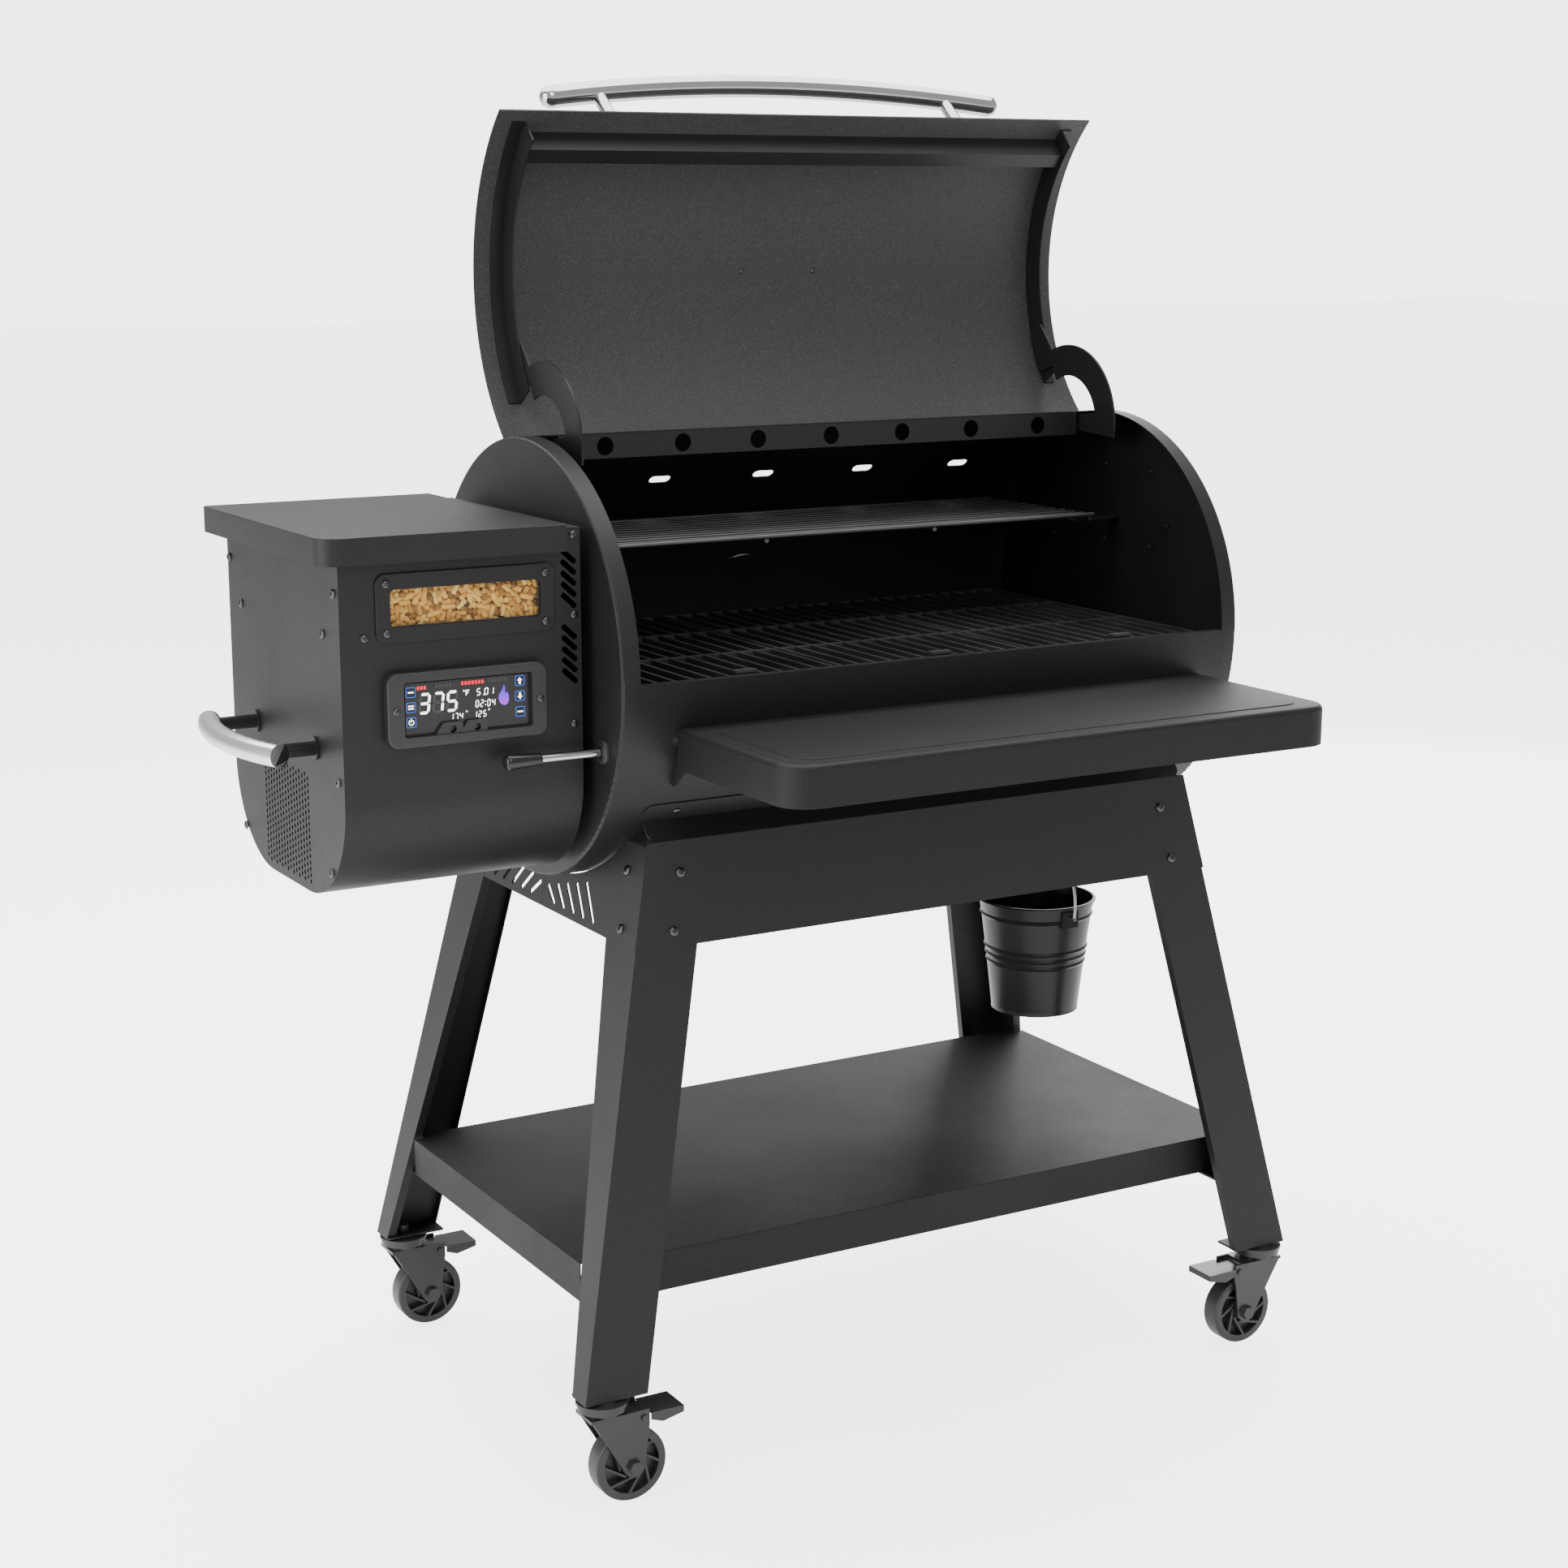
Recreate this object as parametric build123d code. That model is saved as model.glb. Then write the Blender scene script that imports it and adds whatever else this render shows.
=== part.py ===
"""Pellet smoker grill on a four-caster cart, lid open. Millimetres, +Z up, front towards -Y.

Working frame: X along the barrel, barrel axis at y = 0, floor at z = 0. The whole assembly is moved
at the end so that the origin lies under the middle of its bounding box.
"""
from build123d import *
import math
import os

# ---- driving dimensions -------------------------------------------------------------------------
BARREL_R = 260.0          # outer radius of the cooking barrel
AXIS_Z = 946.0            # barrel axis above the floor
SHEET = 1.5               # barrel and hopper sheet
CAP_X = 432.0             # outer face of the end caps
RIM_W = 23.0              # width of the end cap rim band
SHELL_X = CAP_X - RIM_W
MOUTH_BACK_Y = 12.0       # rear upper edge of the barrel mouth
MOUTH_FRONT_Z = 949.0     # front lower edge of the barrel mouth

LID_R = 261.0             # inner radius of the lid skin
LID_T = 2.0
LID_X = 421.0             # lid half width
LID_FRONT = 181.1         # closed lid, front edge angle about the barrel axis
LID_REAR = 88.5           # closed lid, rear edge angle
LID_SWING = 133.5         # opening swing
HINGE_Y, HINGE_Z = 35.8, 1190.6
RIB_X = 384.0             # lid side ribs
ARM_X = 381.0             # lid hinge arms

CART_Y = 13.0             # middle of the cart in y
LEG_TOP_Z, LEG_FOOT_Z = 757.0, 131.0
LEG_TOP_X, LEG_TOP_Y = 383.4, 234.4
LEG_FOOT_X, LEG_FOOT_Y = 512.0, 316.2
LEG_FACE = 80.0           # front face of a leg
LEG_SIDE_TOP, LEG_SIDE_FOOT = 86.0, 35.0
LEG_T = 2.0
APRON_TOP_Z, APRON_LOW_Z = 759.0, 638.0
APRON_T = 1.6

SHELF_TOP_Z, SHELF_SKIRT = 276.0, 48.0
SHELF_X, SHELF_Y = 483.0, 263.0

HOP_X0, HOP_X1 = -733.0, -447.0      # hopper outer faces
HOP_Y0, HOP_Y1 = -190.0, 166.0
HOP_Z0, HOP_Z1 = 715.0, 1120.0
HOP_R = 120.0
AUGER_Y, AUGER_Z = 40.0, 785.0
FAN_Y, FAN_Z = -80.0, 790.0

TABLE_X0, TABLE_X1 = -362.0, 378.0   # folding front shelf
TABLE_Y0, TABLE_Y1 = -512.0, -256.0
TABLE_Z, TABLE_SKIRT = 896.0, 47.0
TABLE_PIN_Y, TABLE_PIN_Z = -262.0, 858.0

LEVER_Y, LEVER_Z = -213.0, 869.0
GRATE_TOP_Z = 944.0
RACK_Z = 1075.0
BUCKET_X, BUCKET_RIM_Z = 318.0, 560.0
SPOUT_X = BUCKET_X + 20.0
BAIL_HOOK_Z = 652.0
EAR_Z = BUCKET_RIM_Z - 14.0

SWIVEL_X, SWIVEL_Y = 482.0, 298.0    # caster swivel axes, y about the cart middle
TRAIL = 31.0
PEDAL_X, PEDAL_Z = 44.0, 103.0       # brake pedal pivot ahead of the swivel
WHEEL_R, WHEEL_W = 45.0, 26.0


# ---- small helpers ------------------------------------------------------------------------------
def box(x0, x1, y0, y1, z0, z1):
    """Axis-aligned block between two corners."""
    b = Box(x1 - x0, y1 - y0, z1 - z0)
    return Pos((x0 + x1) / 2, (y0 + y1) / 2, (z0 + z1) / 2) * b


def rod_x(r, x0, x1, y, z):
    """Round bar along X."""
    return Pos((x0 + x1) / 2, y, z) * Rot(0, 90, 0) * Cylinder(r, abs(x1 - x0))


def rod_y(r, x, y0, y1, z):
    """Round bar along Y."""
    return Pos(x, (y0 + y1) / 2, z) * Rot(90, 0, 0) * Cylinder(r, abs(y1 - y0))


def rod_z(r, x, y, z0, z1):
    """Round bar along Z."""
    return Pos(x, y, (z0 + z1) / 2) * Cylinder(r, abs(z1 - z0))


def polar(r, deg, cy=0.0, cz=AXIS_Z):
    """Point (y, z) at a radius and an angle from +Y towards +Z."""
    a = math.radians(deg)
    return cy + r * math.cos(a), cz + r * math.sin(a)


def extrude_yz(points, x0, x1):
    """Prism along X from a closed outline of (y, z) points."""
    wire = Polyline(*[(x0, y, z) for y, z in points], close=True)
    return extrude(make_face(wire), amount=x1 - x0, dir=(1, 0, 0))


def sector(r0, r1, a0, a1, x0, x1, cy=0.0, cz=AXIS_Z):
    """Curved strip along X between two radii and two angles (a0 < a1)."""
    mid = (a0 + a1) / 2
    p = [(x0,) + polar(r, a, cy, cz) for r, a in
         ((r0, a0), (r0, mid), (r0, a1), (r1, a1), (r1, mid), (r1, a0))]
    edges = [ThreePointArc(p[0], p[1], p[2]), Line(p[2], p[3]), ThreePointArc(p[3], p[4], p[5]), Line(p[5], p[0])]
    return extrude(make_face(Wire(edges)), amount=x1 - x0, dir=(1, 0, 0))


def swing_open(shape):
    """Carry a lid part from the closed place to the open one."""
    axis = Axis((0, HINGE_Y, HINGE_Z), (1, 0, 0))
    return shape.rotate(axis, -LID_SWING)


def solids(*shapes):
    """Loose group of separate solids."""
    out = []
    for s in shapes:
        out += list(s.solids()) if hasattr(s, "solids") else [s]
    return Compound(children=out)


def leg_x(z):
    """Outer x of the leg corner line at a height."""
    return LEG_TOP_X + (LEG_TOP_Z - z) / (LEG_TOP_Z - LEG_FOOT_Z) * (LEG_FOOT_X - LEG_TOP_X)


def leg_y(z):
    """Outer y (about the cart middle) of the leg corner line at a height."""
    return LEG_TOP_Y + (LEG_TOP_Z - z) / (LEG_TOP_Z - LEG_FOOT_Z) * (LEG_FOOT_Y - LEG_TOP_Y)


# ---- cart ---------------------------------------------------------------------------------------
def leg_outline(z, side):
    """L section of a folded leg with return lips, corner at (leg_x, -leg_y), opening inwards."""
    x, y, t, lip = leg_x(z), -leg_y(z), LEG_T, 12.0
    xi, yi = x - LEG_FACE, y + side
    pts = [(x, y), (x, yi), (x - lip, yi), (x - lip, yi - t), (x - t, yi - t), (x - t, y + t),
           (xi + t, y + t), (xi + t, y + lip), (xi, y + lip), (xi, y)]
    return make_face(Polyline(*[(px, py, z) for px, py in pts], close=True))


def leg():
    """Front right leg about the cart middle; the other three are mirrored from it."""
    body = loft([leg_outline(LEG_FOOT_Z, LEG_SIDE_FOOT), leg_outline(LEG_TOP_Z, LEG_SIDE_TOP)], ruled=True)
    x, y = leg_x(LEG_FOOT_Z), -leg_y(LEG_FOOT_Z)
    foot = box(x - LEG_FACE + 1, x - 1.5, y + 1.5, y + LEG_SIDE_FOOT + 4, LEG_FOOT_Z, LEG_FOOT_Z + 3)
    foot -= rod_z(8.06, SWIVEL_X, -SWIVEL_Y, LEG_FOOT_Z - 1, LEG_FOOT_Z + 5)
    zs = SHELF_TOP_Z - SHELF_SKIRT
    xs, ys = leg_x(zs), -leg_y(zs)
    rest = box(xs - LEG_FACE + 1.5, xs - 14, ys + 1.2, -SHELF_Y + 22, zs - 3, zs)
    return body + foot + rest


def place_quarter(shape, sx, sy):
    """Mirror a front right part to another corner and move it onto the cart middle."""
    if sx < 0:
        shape = mirror(shape, Plane.YZ)
    if sy > 0:
        shape = mirror(shape, Plane.XZ)
    return Pos(0, CART_Y, 0) * shape - rod_x(BARREL_R + 3, -440, 440, 0, AXIS_Z)


def slanted_apron():
    """Front apron sheet: follows the slope of the legs and wraps just over them."""
    sections = []
    for z in (APRON_LOW_Z, APRON_TOP_Z):
        x, y = leg_x(z) + APRON_T, -leg_y(z) - APRON_T
        pts = [(-x, y), (x, y), (x, y + APRON_T), (-x, y + APRON_T)]
        sections.append(make_face(Polyline(*[(px, py, z) for px, py in pts], close=True)))
    return Pos(0, CART_Y, 0) * loft(sections, ruled=True)


def round_corner(shape, r, origin, sx, up):
    """Rounds the outer corner of a thin strip at origin; up points along the strip towards its edge."""
    along = Vector(sx, 0, 0)
    waste = Pos(-r / 2, -r / 2, 0) * Box(r, r, 12) - Pos(-r, -r, 0) * Cylinder(r, 14)
    place = Plane(origin=origin, x_dir=along, z_dir=along.cross(Vector(*up)))
    return shape - place * waste


def front_apron():
    """Apron with a sloping top flange and a lip bolted to the barrel, both with rounded ends."""
    sheet = slanted_apron()
    front = CART_Y - leg_y(APRON_TOP_Z) - APRON_T
    back_y, back_z = polar(BARREL_R + 0.2, 219.3)
    flange = extrude_yz([(front, APRON_TOP_Z), (back_y, back_z), (back_y + 1.2, back_z - 1.2),
                         (front + 1.6, APRON_TOP_Z - 1.6)], -380, 380)
    lip = sector(BARREL_R, BARREL_R + 1.5, 213.6, 219.5, -384, 384)
    lip_y, lip_z = polar(BARREL_R, 213.6)
    lean = math.radians(213.6)
    slope = Vector(0, front - back_y, APRON_TOP_Z - back_z).normalized()
    for sx in (-1, 1):
        lip = round_corner(lip, 14, (sx * 384, lip_y, lip_z), sx, (0, math.sin(lean), -math.cos(lean)))
        flange = round_corner(flange, 13, (sx * 380, front, APRON_TOP_Z), sx, (0, slope.Y, slope.Z))
    return sheet + flange + lip


def rear_apron():
    """Mirror image of the front apron about the cart middle, lip trimmed to the barrel."""
    sheet = mirror(slanted_apron(), Plane.XZ.offset(-CART_Y))
    back = CART_Y + leg_y(APRON_TOP_Z) + APRON_T
    y1, z1 = polar(BARREL_R + 0.2, 322.0)
    flange = extrude_yz([(back, APRON_TOP_Z), (y1, z1), (y1 - 1.0, z1 - 1.4), (back - 1.6, APRON_TOP_Z - 1.6)],
                        -380, 380)
    lip = sector(BARREL_R, BARREL_R + 1.5, 321.6, 327.0, -384, 384)
    return sheet + flange + lip


def apron_slot(side, i):
    """Outline of one slot; the slots lean and grow towards the legs."""
    top_y, top_z = 12.0 + 24.0 * i, APRON_LOW_Z + 26.0 + 5.6 * i
    low_y, low_z = top_y + 20.0 + 2.6 * i, APRON_LOW_Z + 10.5
    length = math.hypot(low_y - top_y, top_z - low_z) + 6
    lean = math.degrees(math.atan2(top_z - low_z, side * (top_y - low_y)))
    return Pos(side * (top_y + low_y) / 2, (top_z + low_z) / 2) * Rot(0, 0, lean) * SlotOverall(length, 5.6)


def side_apron(sx):
    """Side apron in two halves meeting at the middle, cut round the barrel and slotted."""
    sections = []
    for z in (APRON_LOW_Z, APRON_TOP_Z - 4):
        x = leg_x(z)
        y = leg_y(z)
        pts = [(sx * x, -y), (sx * (x + APRON_T), -y), (sx * (x + APRON_T), y), (sx * x, y)]
        sections.append(make_face(Polyline(*[(px, py + CART_Y, z) for px, py in pts], close=True)))
    sheet = loft(sections, ruled=True)
    halves = []
    mid_z = (APRON_LOW_Z + APRON_TOP_Z) / 2
    for side in (-1, 1):
        outline = Pos(side * 140.3, mid_z) * Rectangle(280, APRON_TOP_Z - APRON_LOW_Z + 20)
        outline -= Pos(-CART_Y, AXIS_Z) * Circle(BARREL_R + 1.2)
        for i in range(5):
            outline -= apron_slot(side, i)
        frame = Plane(origin=(sx * 340, CART_Y, 0), x_dir=(0, 1, 0), z_dir=(1, 0, 0))
        block = extrude(frame * outline, amount=sx * 100)
        halves.append(sheet & block)
    return solids(*halves)


def lower_shelf():
    """Pressed tray between the legs, skirt folded down, corners notched round the legs."""
    x, y, z, t = SHELF_X, SHELF_Y, SHELF_TOP_Z, 1.5
    low, xn, yn = z - SHELF_SKIRT, SHELF_X - 16, SHELF_Y - 16
    tray = box(-x, x, -yn, yn, z - t, z) + box(-xn, xn, -y, y, z - t, z)
    for s in (-1, 1):
        xa, xb = sorted((s * (x - t), s * x))
        ya, yb = sorted((s * (y - t), s * y))
        tray += box(xa, xb, -yn, yn, low, z) + box(-xn, xn, ya, yb, low, z)
    return Pos(0, CART_Y, 0) * tray


# ---- barrel -------------------------------------------------------------------------------------
def barrel_shell():
    """Rolled cooking barrel with its mouth, vent ovals, drain hole and stiffening lip."""
    start = math.degrees(math.asin(3.0 / BARREL_R))
    stop = 360 + math.degrees(math.acos(MOUTH_BACK_Y / BARREL_R))
    shell = sector(BARREL_R - SHEET, BARREL_R, 180 - start, stop, -SHELL_X, SHELL_X)
    lip = box(-SHELL_X, SHELL_X, -BARREL_R + 0.8, -BARREL_R + 12, MOUTH_FRONT_Z - 1.5, MOUTH_FRONT_Z)
    shell += lip
    for i in range(5):
        oval = Pos(-304 + 152 * i, 187, 1130) * Rot(-45, 0, 0) * extrude(SlotOverall(30, 13), 40, both=True)
        shell -= oval
    shell -= rod_z(20, SPOUT_X, 0, 640, 720)
    return shell


def end_cap(sx):
    """Dished end cap: flat face, rounded edge and rim band."""
    cap = rod_x(BARREL_R, sx * SHELL_X, sx * CAP_X, 0, AXIS_Z)
    face = cap.faces().sort_by(Axis.X)[-1 if sx > 0 else 0]
    cap = fillet(face.edges(), 4.0)
    cap -= rod_x(BARREL_R - SHEET, sx * (SHELL_X - 1), sx * (CAP_X - SHEET), 0, AXIS_Z)
    if sx < 0:
        cap -= rod_x(36.5, -440, -420, AUGER_Y, AUGER_Z)
        cap -= rod_x(7.5, -440, -420, LEVER_Y, LEVER_Z)
    return cap


def hinge_strip():
    """Vertical strip behind the mouth with seven holes, end tabs carrying the lid hinge pins."""
    y = MOUTH_BACK_Y
    z_top = AXIS_Z + math.sqrt((BARREL_R - SHEET) ** 2 - y ** 2) - 0.3
    web = box(-376, 376, y, y + 1.5, z_top - 29, z_top)
    for i in range(7):
        web -= rod_y(11, -314.1 + 104.7 * i, 0, 40, z_top - 14.5)
    tabs = []
    for sx in (-1, 1):
        x0, x1 = sorted((sx * 374.5, sx * 376))
        outline = [(y, z_top - 29), (HINGE_Y + 12, z_top - 29), (HINGE_Y + 12, HINGE_Z + 3), (y, z_top - 1.2)]
        tabs.append(extrude_yz(outline, x0, x1))
        tabs.append(rod_x(5, sx * 374.8, sx * 386.5, HINGE_Y, HINGE_Z))
        tabs.append(rod_x(8, sx * 383.2, sx * 386.5, HINGE_Y, HINGE_Z))
    for tab in tabs:
        web += tab
    return web


def grate(cx, width=264.0, bars=12):
    """One cast grate: bars along Y, cross bars, frame ends and a lifting lip at the front."""
    z1, z0 = GRATE_TOP_Z, GRATE_TOP_Z - 10
    y0, y1 = -236.0, 236.0
    parts = []
    pitch = (width - 9) / (bars - 1)
    for i in range(bars):
        x = cx - width / 2 + 4.5 + i * pitch
        parts.append(box(x - 2.4, x + 2.4, y0, y1, z0, z1))
    for y in (y0 + 4.5, -77.0, 84.0, y1 - 4.5):
        parts.append(box(cx - width / 2, cx + width / 2, y - 4.5, y + 4.5, z0 - 1, z1 - 0.4))
    parts.append(box(cx - 12, cx + 12, y0 - 6, y0 + 3, z1 - 6, z1 + 8))
    parts.append(box(cx - 14, cx + 14, y0 - 9, y0 + 3, z1 + 6, z1 + 9))
    body = parts[0]
    return body.fuse(*parts[1:])


def chamber_supports():
    """Angle ledges under the grates and the four rack tabs on the end caps."""
    parts = []
    for y in (-1, 1):
        ya, yb = sorted((y * 222, y * 257.0))
        parts.append(box(-SHELL_X + 0.5, SHELL_X - 0.5, ya, yb, GRATE_TOP_Z - 14, GRATE_TOP_Z - 11))
    for sx in (-1, 1):
        for y in (-6, 168):
            xa, xb = sorted((sx * 352, sx * (CAP_X - SHEET)))
            tab = box(xa, xb, y - 9, y + 9, RACK_Z - 10, RACK_Z - 8)
            xc, xd = sorted((sx * (CAP_X - SHEET - 2), sx * (CAP_X - SHEET)))
            parts.append(tab + box(xc, xd, y - 9, y + 9, RACK_Z - 34, RACK_Z - 8))
    return solids(*parts)


def upper_rack():
    """Warming rack: wires along X welded on a frame and cross rods."""
    y0, y1, x1 = -38.0, 200.0, 370.0
    wires = 12
    parts = [rod_x(3.0, -x1, x1, y0, RACK_Z), rod_x(3.0, -x1, x1, y1, RACK_Z)]
    for i in range(1, wires - 1):
        y = y0 + (y1 - y0) * i / (wires - 1)
        parts.append(rod_x(1.7, -x1, x1, y, RACK_Z))
    for x in (-364.0, -122.0, 122.0, 364.0):
        parts.append(rod_y(3.0, x, y0 - 1, y1 + 1, RACK_Z - 4.6))
    return parts[0].fuse(*parts[1:])


def flame_broiler():
    """Drip pan under the grates with a slotted area above the burn pot and a drain cut-out."""
    z = 862.0
    pan = box(-404, 404, -232, 232, z - 1.5, z)
    for y in (-1, 1):
        ya, yb = sorted((y * 230.5, y * 232.0))
        pan += box(-404, 404, ya, yb, z - 1.5, z + 14)
    pan -= box(330, 392, -60, 60, z - 5, z + 5)
    for i in range(7):
        for j in range(3):
            pan -= Pos(-280 + 34 * i, AUGER_Y - 70 + 70 * j, z) * Box(14, 52, 10)
    feet = []
    for sx in (-1, 1):
        xa, xb = sorted((sx * 402.5, sx * 404.0))
        feet.append(box(xa, xb, -150, 150, 738, z - 1))
    for f in feet:
        pan += f
    pan -= rod_x(45, -420, -390, AUGER_Y, AUGER_Z)
    return pan


def slider_plate():
    """Sliding cover over the slotted area, moved by the lever."""
    z = 862.2
    plate = box(-300, -44, AUGER_Y - 112, AUGER_Y + 112, z, z + 2)
    for i in range(7):
        for j in range(3):
            plate -= Pos(-280 + 34 * i, AUGER_Y - 70 + 70 * j, z) * Box(14, 52, 10)
    plate += box(-212, -188, LEVER_Y - 6, AUGER_Y - 111, z, z + 2)
    plate += box(-212, -209.5, LEVER_Y - 8, LEVER_Y + 8, z, z + 15)
    plate -= rod_x(5.02, -214, -205, LEVER_Y, LEVER_Z)
    return plate


def burn_pot():
    """Perforated fire pot inside its air box, standing on the barrel floor, with the igniter."""
    px, py = -185.0, AUGER_Y
    case = box(px - 52, px + 52, py - 52, py + 52, 722, 822)
    case -= box(px - 50.5, px + 50.5, py - 50.5, py + 50.5, 723.5, 823)
    case -= rod_x(31.5, px - 60, px - 40, AUGER_Y, AUGER_Z - 6)
    lid = box(px - 52, px + 52, py - 52, py + 52, 822, 824) - rod_z(42, px, py, 820, 830)
    pot = rod_z(42, px, py, 745, 826) - rod_z(40.5, px, py, 746.5, 830)
    pot -= rod_x(31.0, px - 60, px, AUGER_Y, AUGER_Z - 6)
    for i in range(10):
        a = 36 * i + 18
        for z in (760, 800):
            pot -= Pos(px, py, z) * Rot(0, 0, a) * Pos(40, 0, 0) * Rot(0, 90, 0) * Cylinder(3, 12)
    foot = box(px - 40, px + 40, py - 30, py + 30, 680, 722) - box(px - 38, px + 38, py - 28, py + 28, 670, 730)
    foot = foot & rod_x(BARREL_R - SHEET, px - 60, px + 60, 0, AXIS_Z)
    return case + lid + foot + pot


def auger_screw():
    """Feed screw: core shaft with a helical flight."""
    x0, x1 = -640.0, -238.0
    core = rod_x(7, x0 - 21, x1, AUGER_Y, AUGER_Z - 6)
    turns, pitch = 8, (x1 - x0) / 8
    flights = []
    for i in range(turns * 2):
        disc = rod_x(24, x0 + i * pitch / 2 + 4, x0 + i * pitch / 2 + 6.5, AUGER_Y, AUGER_Z - 6)
        disc = disc.rotate(Axis((x0 + i * pitch / 2 + 5, AUGER_Y, AUGER_Z - 6), (0, 0, 1)), 14)
        flights.append(disc)
    return core.fuse(*flights)


# ---- hopper -------------------------------------------------------------------------------------
def u_profile(inset, x, top=HOP_Z1):
    """Closed U outline of the hopper side, moved inwards by an inset."""
    y0, y1, z0 = HOP_Y0 + inset, HOP_Y1 - inset, HOP_Z0 + inset
    r = HOP_R - inset
    k = r * math.sqrt(0.5)
    pts = [(x, y0, top), (x, y0, z0 + r), (x, y0 + r - k, z0 + r - k), (x, y0 + r, z0),
           (x, y1 - r, z0), (x, y1 - r + k, z0 + r - k), (x, y1, z0 + r), (x, y1, top)]
    edges = [Line(pts[0], pts[1]), ThreePointArc(pts[1], pts[2], pts[3]), Line(pts[3], pts[4]),
             ThreePointArc(pts[4], pts[5], pts[6]), Line(pts[6], pts[7]), Line(pts[7], pts[0])]
    return make_face(Wire(edges))


def hopper_wrap():
    """Front, bottom and rear of the hopper in one bent sheet, with window and slot openings."""
    x0, x1 = HOP_X0 + SHEET, HOP_X1 - SHEET
    wrap = extrude(u_profile(0, x0), amount=x1 - x0, dir=(1, 0, 0))
    inner = extrude(u_profile(SHEET, x0 - 1, HOP_Z1 + 1), amount=x1 - x0 + 2, dir=(1, 0, 0))
    wrap -= inner
    for xa in (x0, x1 - 1.5):
        ring = extrude(u_profile(0.5, xa), amount=1.5, dir=(1, 0, 0))
        ring -= extrude(u_profile(19, xa - 1, HOP_Z1 + 1), amount=4, dir=(1, 0, 0))
        wrap += ring
    wrap -= box(WIN_X0 - 4, WIN_X1 + 4, HOP_Y0 - 2, HOP_Y0 + 3, WIN_Z0 - 4, WIN_Z1 + 4)
    wrap -= box(-665, -515, HOP_Y0 - 2, HOP_Y0 + 3, 905, 965)
    wrap -= box(-603.2, -570.8, HOP_Y1 - 3, HOP_Y1 + 1, 871.8, 895.2)
    for z0 in (1034, 949):
        for i in range(5):
            slot = Pos(-462, HOP_Y0, z0 + 6 + 12.4 * i) * Rot(0, 42, 0) * Rot(90, 0, 0)
            wrap -= slot * extrude(SlotOverall(24, 6.4), 6, both=True)
    leaf = []
    for xc in (-690, -530):
        leaf.append(box(xc - 14, xc + 14, HOP_Y1 - 0.5, HOP_Y1 + 1.8, 1074, 1101))
        leaf.append(rod_x(4, xc - 14, xc + 14, HOP_HINGE_Y, HOP_HINGE_Z))
    for piece in leaf:
        wrap += piece
    return wrap


WIN_X0, WIN_X1, WIN_Z0, WIN_Z1 = -675.0, -497.0, 1026.0, 1066.5
HOP_HINGE_Y, HOP_HINGE_Z = HOP_Y1 + 5.5, 1100.0


def hopper_left_panel():
    """Left side panel with the staggered slot grille."""
    panel = extrude(u_profile(0, HOP_X0), amount=SHEET, dir=(1, 0, 0))
    outline = Plane.YZ * SlotOverall(5.6, 4.2, rotation=90)
    slot = extrude(outline, amount=8, both=True)
    cuts = []
    for i in range(16):
        y = -76 + 9.2 * i
        for j in range(17):
            z = 727 + 7.4 * j + (3.7 if i % 2 else 0)
            cuts.append(Pos(HOP_X0, y, z) * slot)
    return panel.cut(*cuts)


def hopper_right_panel():
    """Right side panel with the fixed top strip and four stand-off bosses to the barrel."""
    panel = extrude(u_profile(0, HOP_X1 - SHEET), amount=SHEET, dir=(1, 0, 0))
    panel += box(-470, HOP_X1, HOP_Y0, HOP_Y1, HOP_Z1, HOP_Z1 + 1.5)
    for y, z in ((-120, 860), (120, 860), (-120, 1060), (120, 1060)):
        panel += rod_x(13, HOP_X1 - 1, -CAP_X, y, z)
    panel -= rod_x(36.5, -460, -425, AUGER_Y, AUGER_Z)
    return panel


def frustum(x0, x1, y0, y1, z, bottom):
    """Block tapering from a rectangle at the top to a smaller one at the bottom."""
    top = [(x0, y0, z), (x1, y0, z), (x1, y1, z), (x0, y1, z)]
    bx0, bx1, by0, by1, bz = bottom
    low = [(bx0, by0, bz), (bx1, by0, bz), (bx1, by1, bz), (bx0, by1, bz)]
    faces = [make_face(Polyline(*low, close=True)), make_face(Polyline(*top, close=True))]
    return loft(faces, ruled=True)


def hopper_bin():
    """Pellet bin: straight upper part, funnel, feed trough and auger tube in one welding."""
    t = 1.2
    x0, x1, y0, y1 = -727.0, -477.0, -184.0, 158.0
    upper = box(x0, x1, y0, y1, 1000, HOP_Z1 + 3) - box(x0 + t, x1 - t, y0 + t, y1 - t, 990, HOP_Z1 + 4)
    upper -= box(WIN_X0, WIN_X1, y0 - 2, y0 + 3, WIN_Z0, WIN_Z1)
    ax, bx, ay, by = -640.0, -520.0, AUGER_Y - 24, AUGER_Y + 24
    funnel = frustum(x0, x1, y0, y1, 1000, (ax, bx, ay, by, 800))
    funnel -= frustum(x0 + t, x1 - t, y0 + t, y1 - t, 1000, (ax + 3, bx - 3, ay + 3, by - 3, 800))
    tube = rod_x(28.5, -664, -232, AUGER_Y, AUGER_Z - 6) - rod_x(26.5, -662, -230, AUGER_Y, AUGER_Z - 6)
    tube -= rod_x(7.6, -680, -655, AUGER_Y, AUGER_Z - 6)
    tube -= box(ax + 3, bx - 3, ay + 8, by - 8, 785, 830)
    funnel -= rod_x(28.0, -664, -500, AUGER_Y, AUGER_Z - 6)
    flange = box(x0 - 4, x1 + 4, y0 - 4, y1 + 6, HOP_Z1, HOP_Z1 + 1.5)
    flange -= box(x0 + 1, x1 - 1, y0 + 1, y1 - 1, HOP_Z1 - 1, HOP_Z1 + 3)
    return upper + funnel + tube + flange


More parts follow.
